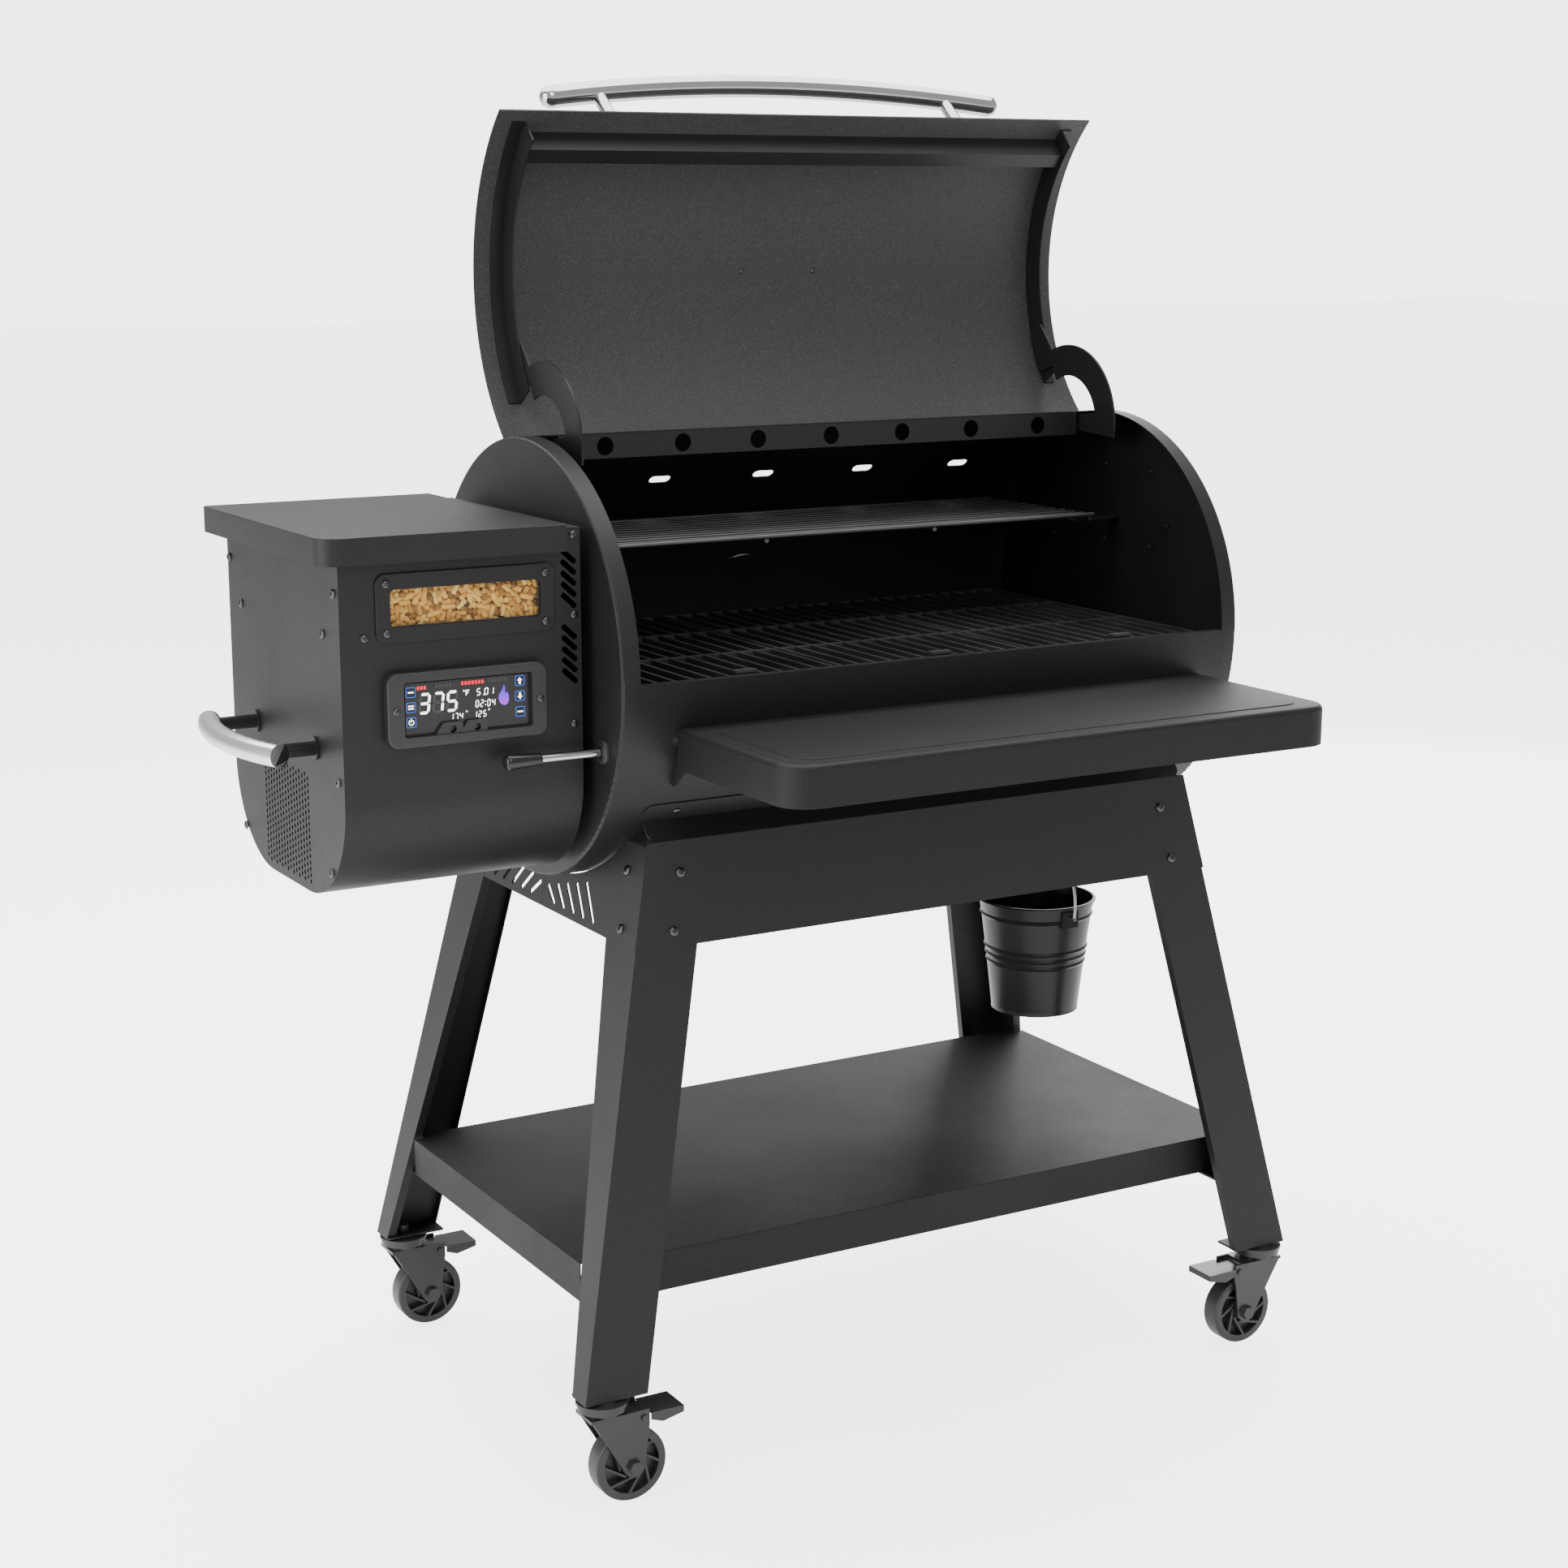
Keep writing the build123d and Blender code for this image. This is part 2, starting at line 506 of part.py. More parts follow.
def hopper_guard():
    """Wire finger guard across the bin."""
    x0, x1, y0, y1, z = -724.5, -479.5, -181.5, 155.5, 1085.0
    parts = []
    for i in range(13):
        x = x0 + 4 + (x1 - x0 - 8) * i / 12
        parts.append(rod_y(1.8, x, y0, y1, z))
    for y in (y0 + 2, (y0 + y1) / 2, y1 - 2):
        parts.append(rod_x(2.2, x0, x1, y, z + 2.6))
    return parts[0].fuse(*parts[1:])


def rounded_plate(x0, x1, z0, z1, y_back, depth, r):
    """Plate on the hopper front with rounded corners, growing towards -Y."""
    p = box(x0, x1, y_back - depth, y_back, z0, z1)
    return fillet(p.edges().filter_by(Axis.Y), r)


def window_frame():
    """Window bezel around the pellet view."""
    frame = rounded_plate(-692, -480, 1008.5, 1084.5, HOP_Y0, 3.0, 12)
    frame -= rounded_plate(WIN_X0, WIN_X1, WIN_Z0, WIN_Z1, HOP_Y0 + 2, 8, 6)
    edge = frame.faces().sort_by(Axis.Y)[0].edges()
    return chamfer(edge, 0.8)


def pellet_load():
    """Pellets held in the bin, levelled below the guard."""
    block = box(-725, -479, -182, 156, 1000.2, 1078)
    low = frustum(-724, -480, -181, 155, 1000.2, (-636, -524, AUGER_Y - 20, AUGER_Y + 20, 812))
    return block + low


def control_bezel():
    """Moulded surround of the controller with a recessed display opening and two probe bosses."""
    y = HOP_Y0
    body = rounded_plate(-685, -495, 893.5, 976.5, y, 12, 13)
    body = fillet(body.faces().sort_by(Axis.Y)[0].edges(), 2.5)
    body -= rounded_plate(-666, -514, 905, 966, y - 4, 20, 3)
    body -= box(-663, -517, y - 5, y + 2, 907, 964)
    for xc in (-609, -580):
        tab = make_face(Polyline((xc - 22, y - 5.6, 903), (xc + 12, y - 5.6, 903), (xc + 12, y - 5.6, 918),
                                 (xc - 11, y - 5.6, 918), close=True))
        tab = extrude(tab, amount=4.4, dir=(0, -1, 0))
        body += fillet(tab.edges().filter_by(Axis.Y).sort_by(Axis.Z)[-2:], 4)
        body -= rod_y(4.2, xc, y - 14, y - 5, 910)
    return body


def control_display():
    """Glass front with the electronics box behind it."""
    glass = box(-662.5, -517.5, HOP_Y0 - 5.5, HOP_Y0 - 4.2, 907.5, 963.5)
    case = box(-655, -525, HOP_Y0 - 4.2, HOP_Y0 + 5.0, 910, 961)
    return glass + case


def bowed_bar(half, bow, r, domed, place):
    """Round bar bowed along a circular arc in the local XY plane, its ends flat or domed."""
    arc = ThreePointArc((-half, 0, 0), (0, bow, 0), (half, 0, 0))
    start = Plane(origin=arc @ 0, z_dir=arc % 0)
    bar = sweep(start * Circle(r), path=arc)
    if domed:
        bar += Pos(-half, 0, 0) * Sphere(r) + Pos(half, 0, 0) * Sphere(r)
    return place * bar


def side_handle():
    """Bowed push handle on the left of the hopper with two posts."""
    cy, z, off = -11.0, 885.0, 50.0
    place = Pos(HOP_X0 - off, cy, z) * Rot(0, 0, 90)
    bar = bowed_bar(118, 20, 13, False, place)
    posts = []
    for y in (-95, 95):
        rise = 20 * (1 - (y / 118) ** 2)
        post = rod_x(8, HOP_X0, HOP_X0 - off - rise - 4, cy + y, z)
        posts.append(post - bar)
    pads = [rod_x(13, HOP_X0 - 3, HOP_X0, cy + y, z) - rod_x(8, HOP_X0 - 4, HOP_X0 + 1, cy + y, z)
            for y in (-95, 95)]
    keep = [max(p.solids(), key=lambda s: s.volume) for p in posts]
    return solids(bar, *keep, *pads)


def fan_housing():
    """Round blower housing behind the left grille, open on its left face, with an outlet duct."""
    x0, x1 = -724.0, -664.0
    drum = rod_x(54, x0, x1, FAN_Y, FAN_Z) - rod_x(52.5, x0 + 1.5, x1 - 1.5, FAN_Y, FAN_Z)
    drum -= rod_x(34, x0 - 1, x0 + 3, FAN_Y, FAN_Z)
    duct = box(x1 - 1.5, HOP_X1 - SHEET - 1.5, FAN_Y - 16, FAN_Y + 16, FAN_Z + 14, FAN_Z + 44)
    duct -= box(x1 - 4, HOP_X1, FAN_Y - 14.5, FAN_Y + 14.5, FAN_Z + 15.5, FAN_Z + 42.5)
    drum -= box(x1 - 4, x1 + 1, FAN_Y - 14.5, FAN_Y + 14.5, FAN_Z + 15.5, FAN_Z + 42.5)
    motor = rod_x(24, x1, x1 + 34, FAN_Y, FAN_Z - 14)
    motor -= box(x1 - 1, x1 + 40, FAN_Y - 16, FAN_Y + 16, FAN_Z + 14, FAN_Z + 50)
    foot = box(x0 + 10, x1 - 10, FAN_Y + 12, FAN_Y + 34, HOP_Z0 + SHEET, FAN_Z - 36)
    foot -= rod_x(52.5, x0, x1, FAN_Y, FAN_Z)
    return drum + duct + motor + foot - rod_x(3.05, x1 - 5, x1 + 9, FAN_Y, FAN_Z)


def fan_impeller():
    """Blower wheel: back disc, hub and ten blades."""
    x0, x1 = -719.0, -668.0
    wheel = rod_x(44, x1 - 3, x1, FAN_Y, FAN_Z) + rod_x(9, x0, x1, FAN_Y, FAN_Z)
    wheel += rod_x(3, x1, x1 + 12, FAN_Y, FAN_Z)
    for i in range(10):
        blade = Pos((x0 + x1) / 2, FAN_Y, FAN_Z) * Rot(36 * i, 0, 0) * Pos(0, 0, 36) * Rot(28, 0, 0)
        wheel += blade * Box(x1 - x0 - 1, 1.6, 16)
    return wheel


def auger_motor():
    """Gear motor driving the feed screw."""
    gear = box(-708, -682, AUGER_Y - 36, AUGER_Y + 36, AUGER_Z - 42, AUGER_Z + 30)
    can = rod_x(24, -724, -708, AUGER_Y, AUGER_Z - 6)
    shaft = rod_x(5, -683, -661, AUGER_Y, AUGER_Z - 6)
    stand = box(-706, -684, AUGER_Y - 30, AUGER_Y + 4, HOP_Z0 + SHEET, AUGER_Z - 41)
    return gear + can + shaft + stand


def power_inlet():
    """Mains inlet socket low on the hopper rear."""
    y = HOP_Y1
    body = box(-612, -562, y, y + 6, 868, 904)
    body = fillet(body.edges().filter_by(Axis.Y), 4)
    body -= box(-601, -573, y - 1, y + 10, 874, 893)
    back = box(-603, -571, y - 22, y + 2, 872, 895)
    back -= box(-601, -573, y - 18, y + 10, 874, 893)
    pins = [box(x - 1.2, x + 1.2, y - 20, y + 1, 879, 887) for x in (-594, -587, -580)]
    body = body + back
    for p in pins:
        body += p
    return body


def hopper_lid():
    """Pressed hopper lid with a skirt and rear hinge knuckles."""
    x0, x1, y0, y1, z0, z1, t = -757.0, -472.0, -207.0, HOP_Y1 + 12.5, 1097.0, 1127.0, 1.5
    lid = box(x0, x1, y0, y1, z0, z1)
    near = lid.edges().filter_by(Axis.Z).sort_by(Axis.X)[:2]
    lid = fillet(near.sort_by(Axis.Y)[0], 26)
    rear = lid.edges().filter_by(Axis.Z).sort_by(Axis.Y)[-2:].sort_by(Axis.X)[0]
    lid = fillet(rear, 6)
    lid = fillet(lid.faces().sort_by(Axis.Z)[-1].edges(), 1.2)
    core = box(x0 + t, x1 + 5, y0 + t, y1 - t, z0 - 1, z1 - t)
    core = fillet(core.edges().filter_by(Axis.Z).sort_by(Axis.X)[:2].sort_by(Axis.Y)[0], 24.5)
    lid -= core
    for xc in (-690, -530):
        for side in (-1, 1):
            c = xc + side * 22
            lid += rod_x(4, c - 7, c + 7, HOP_HINGE_Y, HOP_HINGE_Z)
            lid += box(c - 7, c + 7, HOP_HINGE_Y + 1.5, y1 - 0.5, HOP_HINGE_Z - 3, HOP_HINGE_Z + 6)
    return lid


# ---- lever --------------------------------------------------------------------------------------
def lever_rod():
    """Chrome rod of the flame slider."""
    return rod_x(5, -515, -209.5, LEVER_Y, LEVER_Z)


def lever_grip():
    """Tapered moulded grip."""
    cone = Pos(-533, LEVER_Y, LEVER_Z) * Rot(0, -90, 0) * Cone(7.0, 10.0, 44)
    cone = fillet(cone.faces().sort_by(Axis.X)[0].edges(), 6)
    return cone - rod_x(5, -516, -500, LEVER_Y, LEVER_Z)


# ---- lid ----------------------------------------------------------------------------------------
def lid_skin():
    """Curved lid sheet, built closed and swung open."""
    skin = sector(LID_R, LID_R + LID_T, LID_REAR, LID_FRONT, -LID_X, LID_X)
    return swing_open(skin)


def lid_frame():
    """Two side ribs and the hat channel behind the handle."""
    parts = []
    for sx in (-1, 1):
        xa, xb = sorted((sx * (RIB_X - 1), sx * (RIB_X + 1)))
        rib = sector(230, LID_R, 99.0, 177.5, xa, xb)
        xc, xd = sorted((sx * RIB_X, sx * (RIB_X + 16)))
        parts.append(rib + sector(LID_R - 2, LID_R, 99.0, 177.5, xc, xd))
    r0, r1, t = 236.0, LID_R, 1.6
    outer = [polar(r1, 166.6), polar(r0, 168.0), polar(r0, 172.6), polar(r1, 174.0)]
    inner = [polar(r1 + 1, 167.2), polar(r0 + t, 168.5), polar(r0 + t, 172.2), polar(r1 + 1, 173.5)]
    channel = extrude_yz(outer, -RIB_X + 2, RIB_X - 2) - extrude_yz(inner, -RIB_X, RIB_X)
    parts.append(channel)
    return swing_open(solids(*parts))


def lid_hinge_arms():
    """Pair of C-shaped arms from the hinge pins round the mouth edge to the lid ribs."""
    arms = []
    for sx in (-1, 1):
        xa, xb = sorted((sx * (ARM_X - 1.5), sx * (ARM_X + 1.5)))
        ring = sector(60, 100, 195, 322, xa, xb, HINGE_Y, HINGE_Z)
        hub = rod_x(9, xa, xb, HINGE_Y, HINGE_Z)
        a, b = polar(98, 322, HINGE_Y, HINGE_Z), polar(98, 303, HINGE_Y, HINGE_Z)
        c, d = polar(9, 240, HINGE_Y, HINGE_Z), polar(9, 40, HINGE_Y, HINGE_Z)
        leg_part = extrude_yz([a, b, c, d], xa, xb)
        tip = polar(80, 196, HINGE_Y, HINGE_Z)
        tail = extrude_yz([polar(60, 197, HINGE_Y, HINGE_Z), polar(100, 200, HINGE_Y, HINGE_Z),
                           polar(232, 116), polar(256, 114), polar(256, 102), tip], xa, xb)
        arm = ring + hub + leg_part + tail
        arm -= rod_x(5.3, xa - 1, xb + 1, HINGE_Y, HINGE_Z)
        arms.append(arm)
    return swing_open(solids(*arms))


def lid_handle():
    """Bowed bar on two posts near the front edge of the lid."""
    ang, r_end, bow = 172.7, 336.0, 30.0
    y, z = polar(r_end, ang)
    out = Vector(0, math.cos(math.radians(ang)), math.sin(math.radians(ang)))
    place = Location(Plane(origin=(0, y, z), x_dir=(1, 0, 0), z_dir=Vector(1, 0, 0).cross(out)))
    bar = bowed_bar(316, bow, 13.5, True, place)
    parts = [bar]
    for x in (-250, 250):
        rise = bow * (1 - (x / 316) ** 2)
        a = Vector(x, *polar(LID_R + LID_T, ang))
        length = r_end + rise - LID_R - LID_T
        post = Plane(origin=a, z_dir=out) * Pos(0, 0, length / 2) * Cylinder(8, length)
        post = post - bar
        parts.append(max(post.solids(), key=lambda s: s.volume))
    return swing_open(solids(*parts))


# ---- folding front shelf ------------------------------------------------------------------------
def front_shelf():
    """Pressed shelf with a skirt on three sides, rounded front corners and a raised field."""
    x0, x1, y0, y1, z, t = TABLE_X0, TABLE_X1, TABLE_Y0, TABLE_Y1, TABLE_Z, 1.5
    low = z - TABLE_SKIRT
    body = box(x0, x1, y0, y1, low, z)
    uprights = body.edges().filter_by(Axis.Z)
    body = fillet(uprights.sort_by(Axis.Y)[:2], 38)
    top = body.faces().sort_by(Axis.Z)[-1]
    rim = [e for e in top.edges() if e.center().Y < y1 - 1]
    body = fillet(rim, 6)
    core = box(x0 + t, x1 - t, y0 + t, y1 + 5, low - 1, z - t)
    core = fillet(core.edges().filter_by(Axis.Z).sort_by(Axis.Y)[:2], 36.5)
    core = fillet([e for e in core.faces().sort_by(Axis.Z)[-1].edges() if e.center().Y < y1], 4.5)
    body -= core
    body += box(x0 + 2, x1 - 2, y1 - 1.5, y1, z - 14, z - 0.5)
    field = box(x0 + 26, x1 - 26, y0 + 26, y1 - 28, z - 0.5, z + 1.0)
    field = fillet(field.edges().filter_by(Axis.Z), 30)
    field = fillet(field.faces().sort_by(Axis.Z)[-1].edges(), 0.9)
    body += field
    pins = []
    for xa, xb in ((x0, x0 + 12), (x1 - 12, x1)):
        pins.append(rod_x(5, xa + 0.5, xb - 0.5, TABLE_PIN_Y, TABLE_PIN_Z))
    for p in pins:
        body += p
    return body


def shelf_brackets():
    """Brackets from the barrel to the shelf hinge pins."""
    parts = []
    for xa, xb in ((TABLE_X0 + 4, TABLE_X0 + 8), (TABLE_X1 - 8, TABLE_X1 - 4)):
        outline = [(-230, 828), (-230, 880), (-258, 870), (-272, 868), (-274, 850), (-262, 847), (-238, 826)]
        plate = extrude_yz(outline, xa, xb)
        plate -= rod_x(BARREL_R + 0.1, xa - 1, xb + 1, 0, AXIS_Z)
        plate -= rod_x(5.05, xa - 1, xb + 1, TABLE_PIN_Y, TABLE_PIN_Z)
        pad_x = (xa, xa + 22) if xa < 0 else (xb - 22, xb)
        pad = sector(BARREL_R, BARREL_R + 2.5, 195.5, 207.0, pad_x[0], pad_x[1])
        parts.append(plate + pad)
    return solids(*parts)


# ---- drain and bucket ---------------------------------------------------------------------------
def drain_spout():
    """Grease spout under the barrel with the hook lip that carries the bucket."""
    x = SPOUT_X
    floor = AXIS_Z - BARREL_R
    tube = rod_z(16, x, 0, BAIL_HOOK_Z + 4, floor + 0.5) - rod_z(14, x, 0, 600, 720)
    collar = rod_z(30, x, 0, floor - 6, floor + 2.5) - rod_z(14, x, 0, 600, 720)
    collar -= rod_x(BARREL_R + 0.05, x - 50, x + 50, 0, AXIS_Z)
    hook = box(x - 24, x - 15, -4, 4, BAIL_HOOK_Z + 5.5, BAIL_HOOK_Z + 8)
    hook += box(x - 26.5, x - 24, -4, 4, BAIL_HOOK_Z - 10, BAIL_HOOK_Z + 8)
    hook += box(x - 26.5, x - 8, -4, 4, BAIL_HOOK_Z - 5, BAIL_HOOK_Z - 2.5)
    return tube + collar + hook


def bail():
    """Wire bail of the bucket, arched over the hook."""
    x, r = BUCKET_X, 77.0
    path = ThreePointArc((x, -r - 9, EAR_Z), (x, 0, BAIL_HOOK_Z), (x, r + 9, EAR_Z))
    wire = sweep(Plane(origin=path @ 0, z_dir=path % 0) * Circle(2.0), path=path)
    for side in (-1, 1):
        pin = rod_y(2.4, x, side * (r - 5), side * (r + 12), EAR_Z)
        pin += rod_y(3.8, x, side * (r - 6.5), side * (r - 4.5), EAR_Z)
        wire += pin
    return wire


def bucket():
    """Tapered grease bucket with ribs, rolled rim, foot ring and riveted ears."""
    top, low = BUCKET_RIM_Z, BUCKET_RIM_Z - 154
    r_top, r_low, t = 77.0, 56.0, 1.2
    slope = (r_top - r_low) / (top - low)
    pts = [(0, low + 4), (r_low, low + 4), (r_low, low), (r_low + 2.5, low), (r_low + 2.5, low + 5)]
    for mid in (top - 86, top - 76, top - 66):
        rm = r_low + (mid - low) * slope
        pts += [(rm, mid - 3), (rm + 2.0, mid), (rm + 0.5, mid + 3)]
    pts += [(r_top - 3.5, top - 24), (r_top - 1.0, top - 21), (r_top - 2.6, top - 18)]
    pts += [(r_top, top - 3), (r_top + 2.5, top - 3), (r_top + 3, top - 1), (r_top + 1, top),
            (r_top - t, top), (r_low - t + 0.6, low + 4 + t), (0, low + 4 + t)]
    profile = make_face(Polyline(*[(x, 0, z) for x, z in pts], close=True))
    body = revolve(profile, Axis.Z)
    for s in (-1, 1):
        ya, yb = sorted((s * 73.2, s * 78.2))
        ear = box(-13, 13, ya, yb, EAR_Z - 14, EAR_Z + 8)
        ear -= rod_z(r_top - 5, 0, 0, EAR_Z - 20, EAR_Z + 20)
        ear -= rod_y(2.45, 0, -90, 90, EAR_Z)
        body += ear
        body -= rod_y(2.45, 0, s * 60, s * 90, EAR_Z)
    return Pos(BUCKET_X, 0, 0) * body


# ---- casters ------------------------------------------------------------------------------------
def caster_fork():
    """Swivel head of two races, fork with two cheeks, and the axle bolt; trail towards +X."""
    z_top = LEG_FOOT_Z
    head = rod_z(29, 0, 0, z_top - 13, z_top - 7) + rod_z(22, 0, 0, z_top - 18, z_top - 13)
    head += rod_z(31, 0, 0, z_top - 6.5, z_top - 2.5) + rod_z(8, 0, 0, z_top - 18, z_top + 11)
    head += rod_z(18, 0, 0, z_top - 3, z_top - 0.1)
    head += box(-24, 34, -21, 21, z_top - 22, z_top - 18)
    for s in (-1, 1):
        ya, yb = sorted((s * 17.5, s * 20.5))
        outline = [(-24, z_top - 18), (51, z_top - 18), (51, z_top - 36), (TRAIL + 13, WHEEL_R - 4),
                   (TRAIL + 6, WHEEL_R - 13), (TRAIL - 6, WHEEL_R - 13), (TRAIL - 14, WHEEL_R - 2), (-8, 86)]
        wire = Polyline(*[(x, ya, z) for x, z in outline], close=True)
        cheek = extrude(make_face(wire), amount=yb - ya, dir=(0, 1, 0))
        cheek += rod_y(13, TRAIL, ya, yb, WHEEL_R)
        cheek -= rod_y(4.05, PEDAL_X, -30, 30, PEDAL_Z)
        head += cheek
    head += rod_y(5, TRAIL, -23, 23, WHEEL_R)
    for s in (-1, 1):
        ya, yb = sorted((s * 20.5, s * 27))
        nut = Pos(TRAIL, (ya + yb) / 2, WHEEL_R) * Rot(90, 0, 0) * extrude(RegularPolygon(9, 6), (yb - ya) / 2, both=True)
        head += nut
    return head


def caster_wheel():
    """Solid wheel with a hub and raking spokes between rim and hub."""
    w = WHEEL_W / 2
    wheel = rod_y(WHEEL_R, 0, -w, w, 0)
    wheel = fillet(wheel.edges().filter_by(GeomType.CIRCLE), 3)
    pocket_r, hub_r = WHEEL_R - 10, 13
    for s in (-1, 1):
        ya, yb = sorted((s * 3.0, s * (w + 1)))
        ring = rod_y(pocket_r, 0, ya, yb, 0) - rod_y(hub_r, 0, ya - 1, yb + 1, 0)
        for i in range(8):
            spoke = Rot(0, 45 * i, 0) * Pos(22, 0, 5) * Rot(0, 32, 0) * Box(34, 60, 3.0)
            ring -= spoke
        wheel -= ring
    wheel -= rod_y(5.05, 0, -40, 40, 0)
    return Pos(TRAIL, 0, WHEEL_R) * wheel


def wedge(points, half):
    """Prism across the caster from (x, z) points."""
    outline = make_face(Polyline(*[(x, -half, z) for x, z in points], close=True))
    return extrude(outline, amount=2 * half, dir=(0, 1, 0))


def caster_pedal():
    """Folded brake pedal hinged across the fork, a wedge open below that stands out over the wheel."""
    z = PEDAL_Z + 5
    pedal = wedge([(53, z), (95, z), (95, z - 8), (68, z - 14), (53, z - 9)], 22)
    pedal -= wedge([(50, z - 2), (93, z - 2), (93, z - 9.5), (93, z - 20), (50, z - 20)], 20)
    pedal += box(37, 56, -16, 16, z - 2.5, z) + box(40, 48, -12, 12, PEDAL_Z, z - 1)
    return pedal + rod_y(4, PEDAL_X, -23, 23, PEDAL_Z)


def caster(sx, sy, part):
    """One part of a caster placed at its corner, trail pointing to the middle of the cart."""
    shape = part()
    if sx > 0:
        shape = shape.rotate(Axis.Z, 180)
    return Pos(sx * SWIVEL_X, CART_Y + sy * SWIVEL_Y, 0) * shape


# ---- screws -------------------------------------------------------------------------------------
def screws():
    """Pan-head screws of the cart and the hopper."""
    heads = []
    tilt_front = math.degrees(math.atan((LEG_FOOT_Y - LEG_TOP_Y) / (LEG_TOP_Z - LEG_FOOT_Z)))
    tilt_side = math.degrees(math.atan((LEG_FOOT_X - LEG_TOP_X) / (LEG_TOP_Z - LEG_FOOT_Z)))
    for sx in (-1, 1):
        for sy in (-1, 1):
            for z in (722.0, 656.0):
                x = leg_x(z) - 46
                y = leg_y(z) + APRON_T
                head = Pos(sx * x, CART_Y + sy * y, z) * Rot(sy * -90 + sy * tilt_front, 0, 0) * Pos(0, 0, 1.3)
                heads.append(head * Cylinder(5.8, 2.6))
                xs = leg_x(z) + APRON_T
                ys = leg_y(z) - 38
                side = Pos(sx * xs, CART_Y + sy * ys, z) * Rot(0, sx * 90 - sx * tilt_side, 0) * Pos(0, 0, 1.3)
                heads.append(side * Cylinder(5.8, 2.6))
    for y, z in ((158, 1067.7), (123, 1017.5), (-176, 1064.8), (-140, 1016.7), (-174, 857.8), (-144.5, 751),
                 (135.4, 750.8)):
        heads.append(rod_x(5.2, HOP_X0 - 2.2, HOP_X0, y, z))
    front = [(-705, 1016), (-456, 1024), (-457.7, 900.7), (-456, 1113)]
    for x, z in front:
        heads.append(rod_y(4.6, x, HOP_Y0 - 1.8, HOP_Y0, z))
    for x in (-680, -492):
        for z in (1019.5, 1073.5):
            heads.append(rod_y(4.6, x, HOP_Y0 - 4.8, HOP_Y0 - 3, z))
    for x in (-675.5, -504.5):
        heads.append(rod_y(4.2, x, HOP_Y0 - 13.6, HOP_Y0 - 12, 935))
    for sx in (-1, 1):
        y, z = polar(BARREL_R + 1.5, 216.5)
        place = Pos(sx * 340, y, z) * Rot(36.5 + 90, 0, 0)
        heads.append(place * Pos(0, 0, 0.9) * Cylinder(4.6, 1.8))
    return solids(*heads)


# ---- assembly -----------------------------------------------------------------------------------
def build_all():
    """Every named part in the working frame."""
    parts = {}
    corners = {"front_left": (-1, -1), "front_right": (1, -1), "rear_left": (-1, 1), "rear_right": (1, 1)}
    quarter = leg()
    for name, (sx, sy) in corners.items():
        parts["leg_" + name] = place_quarter(quarter, sx, sy)
    parts["apron_front"] = front_apron()
    parts["apron_rear"] = rear_apron()
    parts["apron_left"] = side_apron(-1)
    parts["apron_right"] = side_apron(1)
    parts["lower_shelf"] = lower_shelf()
    parts["barrel_shell"] = barrel_shell()
    parts["end_cap_left"] = end_cap(-1)
    parts["end_cap_right"] = end_cap(1)
    parts["hinge_strip"] = hinge_strip()
    parts["cooking_grates"] = solids(*[grate(x) for x in (-266.0, 0.0, 266.0)])
    parts["chamber_supports"] = chamber_supports()
    parts["upper_rack"] = upper_rack()
    parts["flame_broiler"] = flame_broiler()
    parts["slider_plate"] = slider_plate()
    parts["burn_pot"] = burn_pot()
    parts["auger_screw"] = auger_screw()
    parts["auger_motor"] = auger_motor()
    parts["fan_housing"] = fan_housing()
    parts["fan_impeller"] = fan_impeller()
    parts["hopper_wrap"] = hopper_wrap()
    parts["hopper_left_panel"] = hopper_left_panel()
    parts["hopper_right_panel"] = hopper_right_panel()
    parts["hopper_bin"] = hopper_bin()
    parts["hopper_guard"] = hopper_guard()
    parts["pellet_load"] = pellet_load()
    parts["window_frame"] = window_frame()
    parts["window_glass"] = box(WIN_X0 - 3, WIN_X1 + 3, HOP_Y0 + 0.2, HOP_Y0 + 3.2, WIN_Z0 - 3, WIN_Z1 + 3)
    parts["control_bezel"] = control_bezel()
    parts["control_display"] = control_display()
    parts["side_handle"] = side_handle()
    parts["power_inlet"] = power_inlet()
    parts["hopper_lid"] = hopper_lid()
    parts["lever_rod"] = lever_rod()
    parts["lever_grip"] = lever_grip()
    parts["lid_skin"] = lid_skin()
    parts["lid_frame"] = lid_frame()
    parts["lid_hinge_arms"] = lid_hinge_arms()
    parts["lid_handle"] = lid_handle()
    parts["front_shelf"] = front_shelf()
    parts["shelf_brackets"] = shelf_brackets()
    parts["drain_spout"] = drain_spout()
    parts["bucket_bail"] = bail()
    parts["bucket"] = bucket()
    parts["screws"] = screws()
    for name, (sx, sy) in corners.items():
        parts["caster_" + name + "_fork"] = caster(sx, sy, caster_fork)
        parts["caster_" + name + "_wheel"] = caster(sx, sy, caster_wheel)
        parts["caster_" + name + "_pedal"] = caster(sx, sy, caster_pedal)
    return parts


def origin_shift(parts):
    """Move that puts the origin under the middle of the whole bounding box."""
    boxes = [p.bounding_box() for p in parts.values()]
    x = (min(b.min.X for b in boxes) + max(b.max.X for b in boxes)) / 2
    y = (min(b.min.Y for b in boxes) + max(b.max.Y for b in boxes)) / 2
    z = min(b.min.Z for b in boxes)
    return Vector(-x, -y, -z)


if __name__ == "__main__":
    os.makedirs("parts", exist_ok=True)
    model = build_all()
    shift = origin_shift(model)
    print("origin shift", shift)
    for node, shape in model.items():
        export_step(Pos(shift.X, shift.Y, shift.Z) * shape, "parts/" + node + ".step")
        print(node, len(shape.solids()), shape.is_valid)
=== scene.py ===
"""Looks for the pellet smoker grill: materials, trim, pellets, display marks and fasteners.

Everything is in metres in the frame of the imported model. Places come from the boxes of the CAD nodes.
"""
import bpy
import bmesh
import math
import random
import numpy as np
from mathutils import Matrix, Vector


